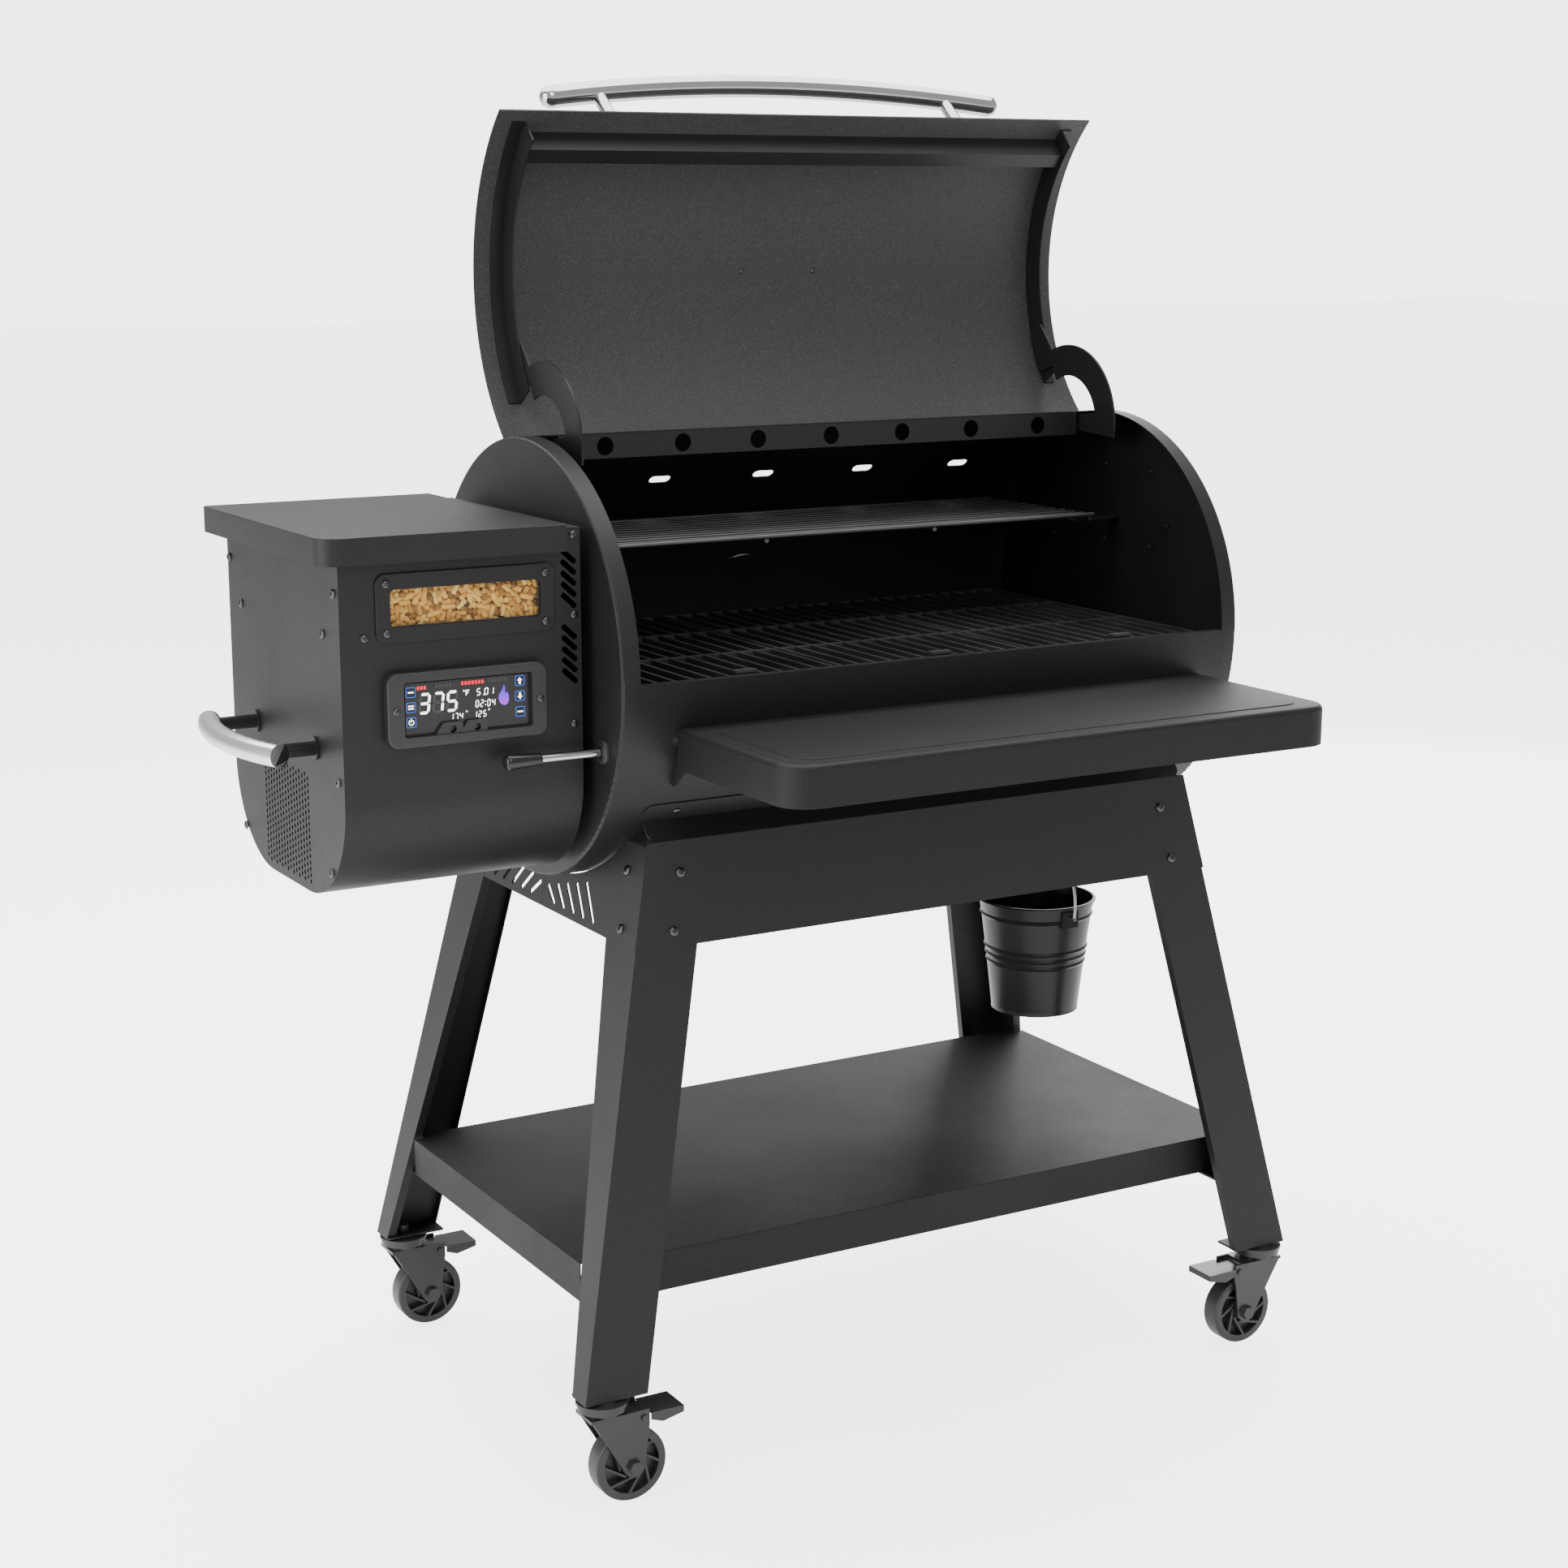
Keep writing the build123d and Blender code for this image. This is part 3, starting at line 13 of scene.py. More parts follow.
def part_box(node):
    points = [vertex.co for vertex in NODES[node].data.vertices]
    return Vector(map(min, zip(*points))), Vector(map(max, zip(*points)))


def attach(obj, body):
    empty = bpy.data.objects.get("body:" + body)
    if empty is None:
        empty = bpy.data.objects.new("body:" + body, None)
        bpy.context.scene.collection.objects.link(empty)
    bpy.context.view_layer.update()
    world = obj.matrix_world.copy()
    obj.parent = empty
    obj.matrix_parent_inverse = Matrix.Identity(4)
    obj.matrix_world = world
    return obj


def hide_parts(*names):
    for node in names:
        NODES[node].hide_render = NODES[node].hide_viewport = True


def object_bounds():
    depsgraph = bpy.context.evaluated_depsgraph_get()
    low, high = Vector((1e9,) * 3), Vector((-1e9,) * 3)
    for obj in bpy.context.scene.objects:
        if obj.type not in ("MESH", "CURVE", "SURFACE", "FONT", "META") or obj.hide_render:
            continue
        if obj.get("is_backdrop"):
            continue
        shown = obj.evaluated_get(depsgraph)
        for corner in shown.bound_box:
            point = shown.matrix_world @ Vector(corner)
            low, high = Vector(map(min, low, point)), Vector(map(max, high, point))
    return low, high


MM = 0.001
CORNERS = ("front_left", "front_right", "rear_left", "rear_right")
EDGE_ROUND = 0.7 * MM
CAMERA_AT = (-1.6159, -2.8353, 1.4713)
CAMERA_YAW, CAMERA_PITCH = 30.09, 11.98
CAMERA_LENS, CAMERA_SENSOR = 62.73, 36.0

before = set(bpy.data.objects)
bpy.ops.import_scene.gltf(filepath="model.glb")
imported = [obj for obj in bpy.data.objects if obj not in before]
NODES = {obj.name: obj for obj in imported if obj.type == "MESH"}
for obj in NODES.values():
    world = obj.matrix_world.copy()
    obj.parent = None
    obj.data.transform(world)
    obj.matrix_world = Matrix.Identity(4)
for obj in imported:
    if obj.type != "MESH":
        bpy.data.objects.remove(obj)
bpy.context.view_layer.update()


# ---- materials ----------------------------------------------------------------------------------
class Shader:
    """Small helper that builds one node-based material."""

    def __init__(self, name):
        self.mat = bpy.data.materials.new(name)
        self.mat.use_nodes = True
        self.tree = self.mat.node_tree
        self.bsdf = self.tree.nodes["Principled BSDF"]
        self.coord = self.node("ShaderNodeTexCoord").outputs["Object"]

    def node(self, kind, **props):
        n = self.tree.nodes.new(kind)
        for key, value in props.items():
            setattr(n, key, value)
        return n

    def link(self, a, b):
        self.tree.links.new(a, b)

    def set(self, **values):
        for key, value in values.items():
            self.bsdf.inputs[key.replace("_", " ")].default_value = value
        return self

    def noise(self, scale, detail=2.0, rough=0.5, stretch=None):
        n = self.node("ShaderNodeTexNoise")
        n.inputs["Scale"].default_value = scale
        n.inputs["Detail"].default_value = detail
        n.inputs["Roughness"].default_value = rough
        vector = self.coord
        if stretch:
            mapping = self.node("ShaderNodeMapping")
            mapping.inputs["Scale"].default_value = stretch
            self.link(self.coord, mapping.inputs["Vector"])
            vector = mapping.outputs["Vector"]
        self.link(vector, n.inputs["Vector"])
        return n.outputs["Fac"]

    def ramp(self, fac, stops):
        n = self.node("ShaderNodeValToRGB")
        ramp = n.color_ramp
        while len(ramp.elements) < len(stops):
            ramp.elements.new(0.5)
        for element, (at, colour) in zip(ramp.elements, stops):
            element.position = at
            element.color = (*colour, 1.0) if len(colour) == 3 else colour
        self.link(fac, n.inputs["Fac"])
        return n.outputs["Color"]

    def span(self, fac, low, high):
        n = self.node("ShaderNodeMapRange")
        n.inputs["From Min"].default_value = 0.3
        n.inputs["From Max"].default_value = 0.7
        n.inputs["To Min"].default_value = low
        n.inputs["To Max"].default_value = high
        self.link(fac, n.inputs["Value"])
        return n.outputs["Result"]

    def mix(self, fac, a, b):
        n = self.node("ShaderNodeMix", data_type="RGBA")
        for socket, value in ((n.inputs["Factor"], fac), (n.inputs[6], a), (n.inputs[7], b)):
            if isinstance(value, (tuple, float, int)):
                socket.default_value = value if isinstance(value, (float, int)) else (*value, 1.0)
            else:
                self.link(value, socket)
        return n.outputs[2]

    def colour(self, socket):
        self.link(socket, self.bsdf.inputs["Base Color"])
        return self

    def rough(self, socket):
        self.link(socket, self.bsdf.inputs["Roughness"])
        return self

    def bump(self, *layers):
        """Layers of (height socket, distance in metres), added one on another."""
        normal = None
        for height, distance in layers:
            n = self.node("ShaderNodeBump")
            n.inputs["Strength"].default_value = 1.0
            n.inputs["Distance"].default_value = distance
            self.link(height, n.inputs["Height"])
            if normal:
                self.link(normal, n.inputs["Normal"])
            normal = n.outputs["Normal"]
        self.link(normal, self.bsdf.inputs["Normal"])
        return self


def grey(v):
    return (v, v, v * 1.01)


def powder_coat(name, base, rough, grain=0.00008, speckle=0.22):
    """Matte black powder coat: fine sandy grain, soft orange peel, faint handling marks."""
    s = Shader(name)
    fine = s.noise(620, 3.0, 0.7)
    peel = s.noise(260, 2.0, 0.5)
    marks = s.noise(5.0, 4.0, 0.6)
    flat = s.ramp(marks, [(0.25, grey(base * 0.92)), (0.75, grey(base * 1.08))])
    flecks = s.ramp(fine, [(0.42, grey(0)), (0.72, grey(1))])
    bright = grey(base * (1 + speckle * 6))
    s.colour(s.mix(s.span(flecks, 0.0, speckle), flat, bright))
    s.rough(s.span(marks, rough - 0.03, rough + 0.05))
    s.bump((peel, 0.00012), (fine, grain))
    s.set(Specular_IOR_Level=0.32)
    return s.mat


def chamber_shaded_coat(name):
    """Inside of the chamber: enamel darker than the outer coat as painted shade for the dim inside of the
    barrel, with a little uneven haze.
    """
    s = Shader(name)
    haze = s.noise(3.0, 5.0, 0.65)
    fine = s.noise(900, 2.0)
    s.set(Specular_IOR_Level=0.25)
    # Painted shade: the ramp stays well below the outer coat's colour, standing in for the shade inside the
    # barrel.
    s.colour(s.ramp(haze, [(0.3, grey(0.005)), (0.7, grey(0.010))]))
    s.rough(s.span(haze, 0.5, 0.68))
    s.bump((fine, 0.00006))
    return s.mat


def cast_iron(name):
    """Seasoned cast iron: dark, pitted, slightly oily."""
    s = Shader(name)
    pits = s.noise(700, 3.0, 0.6)
    haze = s.noise(9.0, 3.0)
    s.colour(s.ramp(haze, [(0.3, grey(0.018)), (0.7, grey(0.034))]))
    s.rough(s.span(haze, 0.38, 0.52))
    s.bump((pits, 0.00022))
    return s.mat


def metal(name, base, rough, wobble=0.04, grain=(40, 900, 900), depth=0.00002):
    """Bare or plated metal with fine lines along X."""
    s = Shader(name)
    lines = s.noise(1.0, 4.0, 0.6, stretch=grain)
    haze = s.noise(14.0, 3.0)
    s.set(Metallic=1.0)
    s.colour(s.ramp(haze, [(0.3, grey(base * 0.94)), (0.7, grey(base))]))
    s.rough(s.span(lines, rough - wobble / 2, rough + wobble))
    s.bump((lines, depth))
    return s.mat


def plastic(name, base, rough, grain=0.00005):
    """Dark plastic, paint or rubber with a fine surface grain."""
    s = Shader(name)
    fine = s.noise(1200, 2.0)
    soft = s.noise(20.0, 3.0)
    s.colour(s.ramp(soft, [(0.3, grey(base * 0.93)), (0.7, grey(base * 1.07))]))
    s.rough(s.span(soft, rough - 0.02, rough + 0.04))
    s.bump((fine, grain))
    return s.mat


def glass(name):
    """Thin clear sheet: mostly see-through, with a faint cool film."""
    s = Shader(name)
    s.set(Alpha=0.04, IOR=1.5)
    s.colour(s.ramp(s.noise(12.0), [(0.3, (0.16, 0.18, 0.18)), (0.7, (0.22, 0.24, 0.24))]))
    s.rough(s.span(s.noise(30.0), 0.02, 0.06))
    return s.mat


def glow(name, colour, strength, dim=0.9):
    """Lit display mark with a slightly uneven backlight."""
    s = Shader(name)
    uneven = s.noise(160.0, 2.0)
    shade = tuple(c * dim for c in colour)
    lit = s.ramp(uneven, [(0.3, shade), (0.7, colour)])
    s.colour(lit)
    s.set(Roughness=0.4, Emission_Strength=strength)
    s.link(lit, s.bsdf.inputs["Emission Color"])
    return s.mat


def pellet_wood(name):
    """Compressed sawdust: tan, each pellet its own tone, darkened by painted shade for pellets lying deeper
    behind the glass; fine fibres and darker flecks.
    """
    s = Shader(name)
    shade = s.node("ShaderNodeAttribute", attribute_name="shade").outputs["Fac"]
    fibre = s.noise(260, 3.0, 0.6)
    flecks = s.noise(1500, 2.0, 0.6)
    # The dark low end of this ramp is painted shade: the shade attribute drops with depth, standing in for
    # the shadow between pellets.
    base = s.ramp(shade, [(0.0, (0.05, 0.02, 0.004)), (0.36, (0.34, 0.15, 0.02)), (0.42, (0.62, 0.30, 0.04)),
                          (0.7, (0.92, 0.54, 0.11)), (1.0, (1.0, 0.78, 0.27))])
    dark = s.mix(s.span(fibre, 0.0, 0.16), base, (0.50, 0.22, 0.04))
    s.colour(s.mix(s.span(flecks, 0.0, 0.08), dark, (1.0, 0.74, 0.28)))
    s.rough(s.span(fibre, 0.55, 0.8))
    s.bump((fibre, 0.0002), (flecks, 0.00005))
    return s.mat


COAT = powder_coat("powder_coat", 0.0105, 0.45, grain=0.00016, speckle=0.30)
COAT_COARSE = powder_coat("powder_coat_coarse", 0.0045, 0.55, grain=0.0004, speckle=0.45)
# Painted light: a lighter copy of the powder coat for the lid's inner face, standing in for the light that
# face catches.
LID_INNER_LIT_COAT = powder_coat("lid_inner_painted_light", 0.034, 0.55, grain=0.0003, speckle=0.42)
COAT_DARK = powder_coat("powder_coat_dark", 0.010, 0.4, grain=0.00006, speckle=0.16)
PAIL = powder_coat("bucket_coat", 0.017, 0.30, grain=0.00003, speckle=0.1)
CHAMBER_SHADED = chamber_shaded_coat("chamber_enamel")
IRON = cast_iron("seasoned_iron")
WIRE = metal("plated_wire", 0.13, 0.42)
CHROME = metal("polished_chrome", 0.60, 0.08, wobble=0.02, depth=0.000004)
SATIN = metal("satin_steel", 0.96, 0.24, wobble=0.06)
ZINC = metal("zinc_plate", 0.42, 0.36)
SCREW = metal("black_oxide", 0.10, 0.30, wobble=0.05)
PLASTIC = plastic("black_plastic", 0.021, 0.42)
GRIP = plastic("grip_gloss", 0.012, 0.16, grain=0.00001)
CASTER = plastic("caster_paint", 0.030, 0.22, grain=0.00001)
TYRE = plastic("tyre_rubber", 0.030, 0.34, grain=0.00002)
RUBBER = plastic("black_rubber", 0.012, 0.5)
LCD = plastic("display_face", 0.014, 0.2, grain=0.000002)
GLASS = glass("window_glass")
WOOD = pellet_wood("pellet_wood")

LOOKS = {
    "front_shelf": COAT_COARSE, "lower_shelf": COAT_COARSE, "hinge_strip": COAT_DARK,
    "chamber_supports": CHAMBER_SHADED, "flame_broiler": CHAMBER_SHADED, "slider_plate": CHAMBER_SHADED,
    "cooking_grates": IRON, "upper_rack": WIRE, "burn_pot": ZINC, "auger_screw": ZINC, "auger_motor": ZINC,
    "fan_housing": ZINC, "fan_impeller": ZINC, "hopper_bin": ZINC, "hopper_guard": WIRE,
    "side_handle": SATIN, "lid_handle": CHROME, "lever_rod": CHROME, "lever_grip": GRIP,
    "control_bezel": PLASTIC, "power_inlet": PLASTIC, "control_display": LCD, "window_glass": GLASS,
    "drain_spout": COAT_DARK, "bucket_bail": ZINC, "bucket": PAIL, "screws": SCREW,
    "lid_frame": COAT_DARK, "lid_hinge_arms": COAT_DARK, "pellet_load": WOOD,
}
for corner in CORNERS:
    LOOKS[f"caster_{corner}_fork"] = CASTER
    LOOKS[f"caster_{corner}_pedal"] = CASTER
    LOOKS[f"caster_{corner}_wheel"] = TYRE


def dress(obj, mat):
    """Makes mat the only material of the object."""
    obj.data.materials.clear()
    obj.data.materials.append(mat)


def soften(obj, width, angle=32.0):
    """Welds the split vertices, rounds the sharp edges a little and evens the normals."""
    mesh = obj.data
    for poly in mesh.polygons:
        poly.use_smooth = True
    if "custom_normal" in mesh.attributes:
        mesh.attributes.remove(mesh.attributes["custom_normal"])
    weld = obj.modifiers.new("weld", "WELD")
    weld.merge_threshold = 0.00001
    merge = obj.modifiers.new("merge_flat", "DECIMATE")
    merge.decimate_type = "DISSOLVE"
    merge.angle_limit = math.radians(0.4)
    bevel = obj.modifiers.new("bevel", "BEVEL")
    bevel.width = width
    bevel.segments = 2
    bevel.limit_method = "ANGLE"
    bevel.angle_limit = math.radians(angle)
    bevel.harden_normals = True
    bevel.use_clamp_overlap = True


def inner_faces(node, mat, is_inner):
    """Gives the faces that is_inner(centre, normal) picks a second material."""
    mesh = NODES[node].data
    mesh.materials.append(mat)
    for poly in mesh.polygons:
        if is_inner(poly.center, poly.normal):
            poly.material_index = 1


def barrel_axis():
    """Y and Z of the barrel's axis: its box is a full circle across and open at the top."""
    low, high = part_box("barrel_shell")
    return (low.y + high.y) / 2, low.z + (high.y - low.y) / 2


def dress_frame():
    """Materials, inner faces with painted shade in the chamber and painted light on the lid, and softened
    edges of the CAD nodes.
    """
    for node, obj in NODES.items():
        dress(obj, LOOKS.get(node, COAT))
    low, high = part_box("barrel_shell")
    axis_y, axis_z = barrel_axis()
    middle = (low.x + high.x) / 2

    def facing_axis(centre, normal):
        return normal.y * (centre.y - axis_y) + normal.z * (centre.z - axis_z) < -0.02

    # Inner faces of the shell and end caps take the darker chamber coat: painted shade.
    inner_faces("barrel_shell", CHAMBER_SHADED, facing_axis)
    reach = (high.y - low.y) / 2 - 1 * MM
    for side, node in ((-1, "end_cap_left"), (1, "end_cap_right")):
        def facing_in(centre, normal, side=side):
            radius = math.hypot(centre.y - axis_y, centre.z - axis_z)
            return normal.x * side < -0.5 and radius < reach and abs(centre.x - middle) > 0.3
        inner_faces(node, CHAMBER_SHADED, facing_in)
    # The lid's inner faces take the lighter copy: painted light.
    inner_faces("lid_skin", LID_INNER_LIT_COAT, lambda centre, normal: normal.y < -0.05)
    bar_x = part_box("side_handle")[0].x + 36 * MM
    inner_faces("side_handle", COAT_DARK, lambda centre, normal: centre.x > bar_x)
    for node in BEVELLED:
        soften(NODES[node], EDGE_ROUND)


BEVELLED = ["leg_front_left", "leg_front_right", "leg_rear_left", "leg_rear_right", "lower_shelf",
            "hopper_lid", "front_shelf", "end_cap_left", "end_cap_right", "window_frame", "control_bezel",
            "apron_front", "apron_rear", "lid_hinge_arms", "shelf_brackets", "hopper_right_panel",
            "hopper_wrap", "hinge_strip"]
for corner in CORNERS:
    BEVELLED += [f"caster_{corner}_{part}" for part in ("fork", "pedal", "wheel")]

dress_frame()


# ---- mesh helpers -------------------------------------------------------------------------------
def piece(name, bm, mat, body, smooth=True, sharp=35.0):
    """Turns a bmesh into a piece that rides on a body."""
    mesh = bpy.data.meshes.new(name)
    bmesh.ops.recalc_face_normals(bm, faces=bm.faces)
    bm.to_mesh(mesh)
    bm.free()
    for poly in mesh.polygons:
        poly.use_smooth = smooth
    if smooth:
        mesh.set_sharp_from_angle(angle=math.radians(sharp))
    obj = bpy.data.objects.new(name, mesh)
    bpy.context.scene.collection.objects.link(obj)
    dress(obj, mat)
    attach(obj, body)
    return obj


def lathe(bm, profile, place, count=40):
    """Closed body of revolution about local Z from (radius, z) points, both ends on the axis."""
    rings = []
    for r, z in profile:
        if r < 1e-9:
            rings.append([bm.verts.new(place @ Vector((0, 0, z)))])
            continue
        turn = [2 * math.pi * i / count for i in range(count)]
        rings.append([bm.verts.new(place @ Vector((r * math.cos(a), r * math.sin(a), z))) for a in turn])
    for low, high in zip(rings, rings[1:]):
        for i in range(count):
            j = (i + 1) % count
            corners = [low[i % len(low)], low[j % len(low)], high[j % len(high)], high[i % len(high)]]
            unique = list(dict.fromkeys(corners))
            if len(unique) > 2:
                bm.faces.new(unique)


def ring_lathe(bm, profile, place, count=40):
    """Closed ring of revolution about local Z from a closed (radius, z) outline."""
    rings = []
    for r, z in profile:
        turn = [2 * math.pi * i / count for i in range(count)]
        rings.append([bm.verts.new(place @ Vector((r * math.cos(a), r * math.sin(a), z))) for a in turn])
    for low, high in zip(rings, rings[1:] + rings[:1]):
        for i in range(count):
            j = (i + 1) % count
            bm.faces.new([low[i], low[j], high[j], high[i]])


def slab(bm, outline, y, depth):
    """Flat mark on the XZ plane, from y towards -Y by depth."""
    front = [bm.verts.new((x, y - depth, z)) for x, z in outline]
    back = [bm.verts.new((x, y, z)) for x, z in outline]
    bm.faces.new(front)
    bm.faces.new(back[::-1])
    for i in range(len(outline)):
        j = (i + 1) % len(outline)
        bm.faces.new([front[i], back[i], back[j], front[j]])


def islands(node):
    """Separate bodies of a CAD node, each as a list of its points."""
    bm = bmesh.new()
    bm.from_mesh(NODES[node].data)
    bmesh.ops.remove_doubles(bm, verts=bm.verts, dist=1e-6)
    seen, found = set(), []
    for start in bm.verts:
        if start in seen:
            continue
        stack, group = [start], []
        seen.add(start)
        while stack:
            v = stack.pop()
            group.append(v)
            for e in v.link_edges:
                other = e.other_vert(v)
                if other not in seen:
                    seen.add(other)
                    stack.append(other)
        faces = {f for v in group for f in v.link_faces}
        caps = {}
        for f in faces:
            key = tuple(round(c, 2) for c in f.normal)
            caps[key] = caps.get(key, 0.0) + f.calc_area()
        axis = Vector(max(caps, key=caps.get)).normalized()
        found.append(([v.co.copy() for v in group], axis))
    bm.free()
    return found


# ---- fasteners ----------------------------------------------------------------------------------
def screw_template():
    """Pan head of radius 1 with a cross recess, seated at z = 0."""
    bm = bmesh.new()
    dome = [(0, 0.0), (0.94, 0.0), (1.0, 0.08), (0.99, 0.22), (0.9, 0.38), (0.7, 0.5), (0.4, 0.56), (0, 0.58)]
    lathe(bm, dome, Matrix.Identity(4), 32)
    bmesh.ops.recalc_face_normals(bm, faces=bm.faces)
    mesh = bpy.data.meshes.new("screw_head")
    bm.to_mesh(mesh)
    bm.free()
    head = bpy.data.objects.new("screw_head", mesh)
    bpy.context.scene.collection.objects.link(head)
    cutters = []
    for turn in (0, 90):
        bpy.ops.mesh.primitive_cube_add(size=1, rotation=(0, 0, math.radians(turn)))
        cutter = bpy.context.object
        cutter.scale = (1.16, 0.24, 0.7)
        cutter.location = (0, 0, 0.60)
        cutters.append(cutter)
        cut = head.modifiers.new("cut", "BOOLEAN")
        cut.object = cutter
        cut.solver = "EXACT"
    bpy.context.view_layer.update()
    result = bpy.data.meshes.new_from_object(head.evaluated_get(bpy.context.evaluated_depsgraph_get()))
    for o in (head, *cutters):
        bpy.data.objects.remove(o)
    return result


def stamp(bm, template, place):
    """Adds a placed copy of the template mesh to bm."""
    before = len(bm.verts)
    bm.from_mesh(template)
    bm.verts.ensure_lookup_table()
    for v in bm.verts[before:]:
        v.co = place @ v.co


def screw_heads():
    """Detailed cross-recess heads in place of the plain CAD heads."""
    template = screw_template()
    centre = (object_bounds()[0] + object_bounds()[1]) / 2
    rng = random.Random(11)
    bm = bmesh.new()
    for points, axis in islands("screws"):
        middle = sum(points, Vector()) / len(points)
        if axis.dot(middle - centre) < 0:
            axis = -axis
        seat = min(p.dot(axis) for p in points)
        radius = max(((p - middle) - axis * (p - middle).dot(axis)).length for p in points)
        base = middle + axis * (seat - middle.dot(axis))
        turn = axis.to_track_quat("Z", "Y").to_matrix().to_4x4()
        spin = Matrix.Rotation(rng.uniform(0, math.pi / 2), 4, "Z")
        stamp(bm, template, Matrix.Translation(base) @ turn @ spin @ Matrix.Scale(radius, 4))
    heads = piece("screw_heads", bm, SCREW, "frame")
    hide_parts("screws")
    bpy.data.meshes.remove(template)


def lever_grommet():
    """Rubber ring where the lever rod enters the end cap."""
    lo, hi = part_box("lever_rod")
    y, z, r = (lo.y + hi.y) / 2, (lo.z + hi.z) / 2, (hi.z - lo.z) / 2
    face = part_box("end_cap_left")[0].x
    place = Matrix.Translation((face, y, z)) @ Matrix.Rotation(math.radians(-90), 4, "Y")
    profile = [(r + 0.7 * MM, 0), (r + 0.7 * MM, 4.5 * MM), (r + 1.6 * MM, 6 * MM), (r + 5 * MM, 6 * MM),
               (r + 8.2 * MM, 4.4 * MM), (r + 9 * MM, 2.4 * MM), (r + 9 * MM, 0)]
    bm = bmesh.new()
    ring_lathe(bm, profile, place, 48)
    piece("lever_grommet", bm, RUBBER, "frame", sharp=50)


# ---- pellets ------------------------------------------------------------------------------------
PELLET_R = 3.2 * MM
PELLET_LONGEST_HALF = 10.5
# Depth behind the front layer at which the painted shade on the pellets is full.
SHADE_DEPTH = 16 * MM


def add_pellet(bm, shade, centre, along, length, depth, rng):
    """One pellet: a short rod with rough, slightly domed ends; deeper pellets get painted shade, as if
    shadowed by the pellets in front.
    """
    sides = 10
    turn = along.to_track_quat("Z", "Y").to_matrix()
    r = PELLET_R * rng.uniform(0.93, 1.05)
    # Random tone of the pellet less painted shade that grows with its depth.
    tone_less_depth_shade = 0.5 + 0.5 * rng.random() - min(max(depth, 0.0) / SHADE_DEPTH, 1.0)
    rows = [(-0.5, 0.80), (-0.47, 0.97), (-0.15, 1.0), (0.2, 1.0), (0.47, 0.97), (0.5, 0.78)]
    rings = []
    for t, scale in rows:
        ring = []
        tip = abs(t) > 0.4
        for i in range(sides):
            a = 2 * math.pi * i / sides
            wob = rng.uniform(0.93, 1.05) if tip else rng.uniform(0.98, 1.02)
            drift = rng.uniform(-0.35, 0.35) * MM if tip else 0.0
            local = Vector((r * scale * wob * math.cos(a), r * scale * wob * math.sin(a), t * length + drift))
            v = bm.verts.new(centre + turn @ local)
            v[shade] = tone_less_depth_shade
            ring.append(v)
        rings.append(ring)
    for low, high in zip(rings, rings[1:]):
        for i in range(sides):
            j = (i + 1) % sides
            bm.faces.new([low[i], low[j], high[j], high[i]])
    for ring, t in ((rings[0][::-1], -0.5), (rings[-1], 0.5)):
        cap = bm.verts.new(centre + turn @ Vector((0, 0, t * length * 1.02)))
        cap[shade] = tone_less_depth_shade
        for i in range(sides):
            bm.faces.new([ring[i], ring[(i + 1) % sides], cap])


def settle(points, dirs, halves, lo, hi, rounds):
    """Pushes overlapping pellets apart inside a box, each pellet sampled by three balls."""
    p, d, h = np.array(points), np.array(dirs), np.array(halves)
    n = len(p)
    owner = np.repeat(np.arange(n), 3)
    for _ in range(rounds):
        offset = np.stack([-0.75 * h, 0 * h, 0.75 * h], 1)[:, :, None] * d[:, None, :]
        balls = (p[:, None, :] + offset).reshape(-1, 3)
        push = np.zeros_like(balls)
        for i in range(0, len(balls), 300):
            gap = balls[i:i + 300, None, :] - balls[None, :, :]
            far = np.linalg.norm(gap, axis=2)
            near = (far < 2 * PELLET_R) & (owner[i:i + 300, None] != owner[None, :])
            depth = np.where(near, (2 * PELLET_R - far) / np.maximum(far, 1e-6), 0.0)
            push[i:i + 300] = 0.28 * (gap * depth[:, :, None]).sum(1)
        push = push.reshape(n, 3, 3)
        p = p + push.mean(1) * 1.4
        d = d + (push[:, 2] - push[:, 0]) / (1.5 * h)[:, None]
        d = d / np.linalg.norm(d, axis=1)[:, None]
        reach = np.abs(d) * h[:, None] + PELLET_R * np.sqrt(np.maximum(1 - d * d, 0))
        p = np.clip(p, np.minimum(lo + reach, hi - reach), np.maximum(hi - reach, lo + reach))
    return p, d


def pellet_pile(lo, hi, count, tilt, seed, rounds, face, surface, shortest=3.6):
    """Loose pellets filling a thin box; face is the axis across the layer, shortest a half length in mm,
    surface the plane from which the painted depth shade is measured.
    """
    rng = random.Random(seed)
    lo, hi = np.array(lo), np.array(hi)
    points, dirs, halves = [], [], []
    for _ in range(count):
        points.append([rng.uniform(lo[k], hi[k]) for k in range(3)])
        a, up = rng.uniform(0, math.pi), rng.gauss(0, tilt)
        flat = [math.cos(a) * math.cos(up), math.sin(a) * math.cos(up)]
        flat.insert(face, math.sin(up))
        dirs.append(flat)
        halves.append(rng.uniform(shortest, PELLET_LONGEST_HALF) * MM)
    points, dirs = settle(points, dirs, halves, lo, hi, rounds)
    bm = bmesh.new()
    shade = bm.verts.layers.float.new("shade")
    for centre, along, half in zip(points, dirs, halves):
        # Depth behind the front layer, for the painted shade.
        depth = abs(centre[face] - surface) - 1.1 * PELLET_R
        add_pellet(bm, shade, Vector(centre), Vector(along), 2 * half, depth, rng)
    return bm


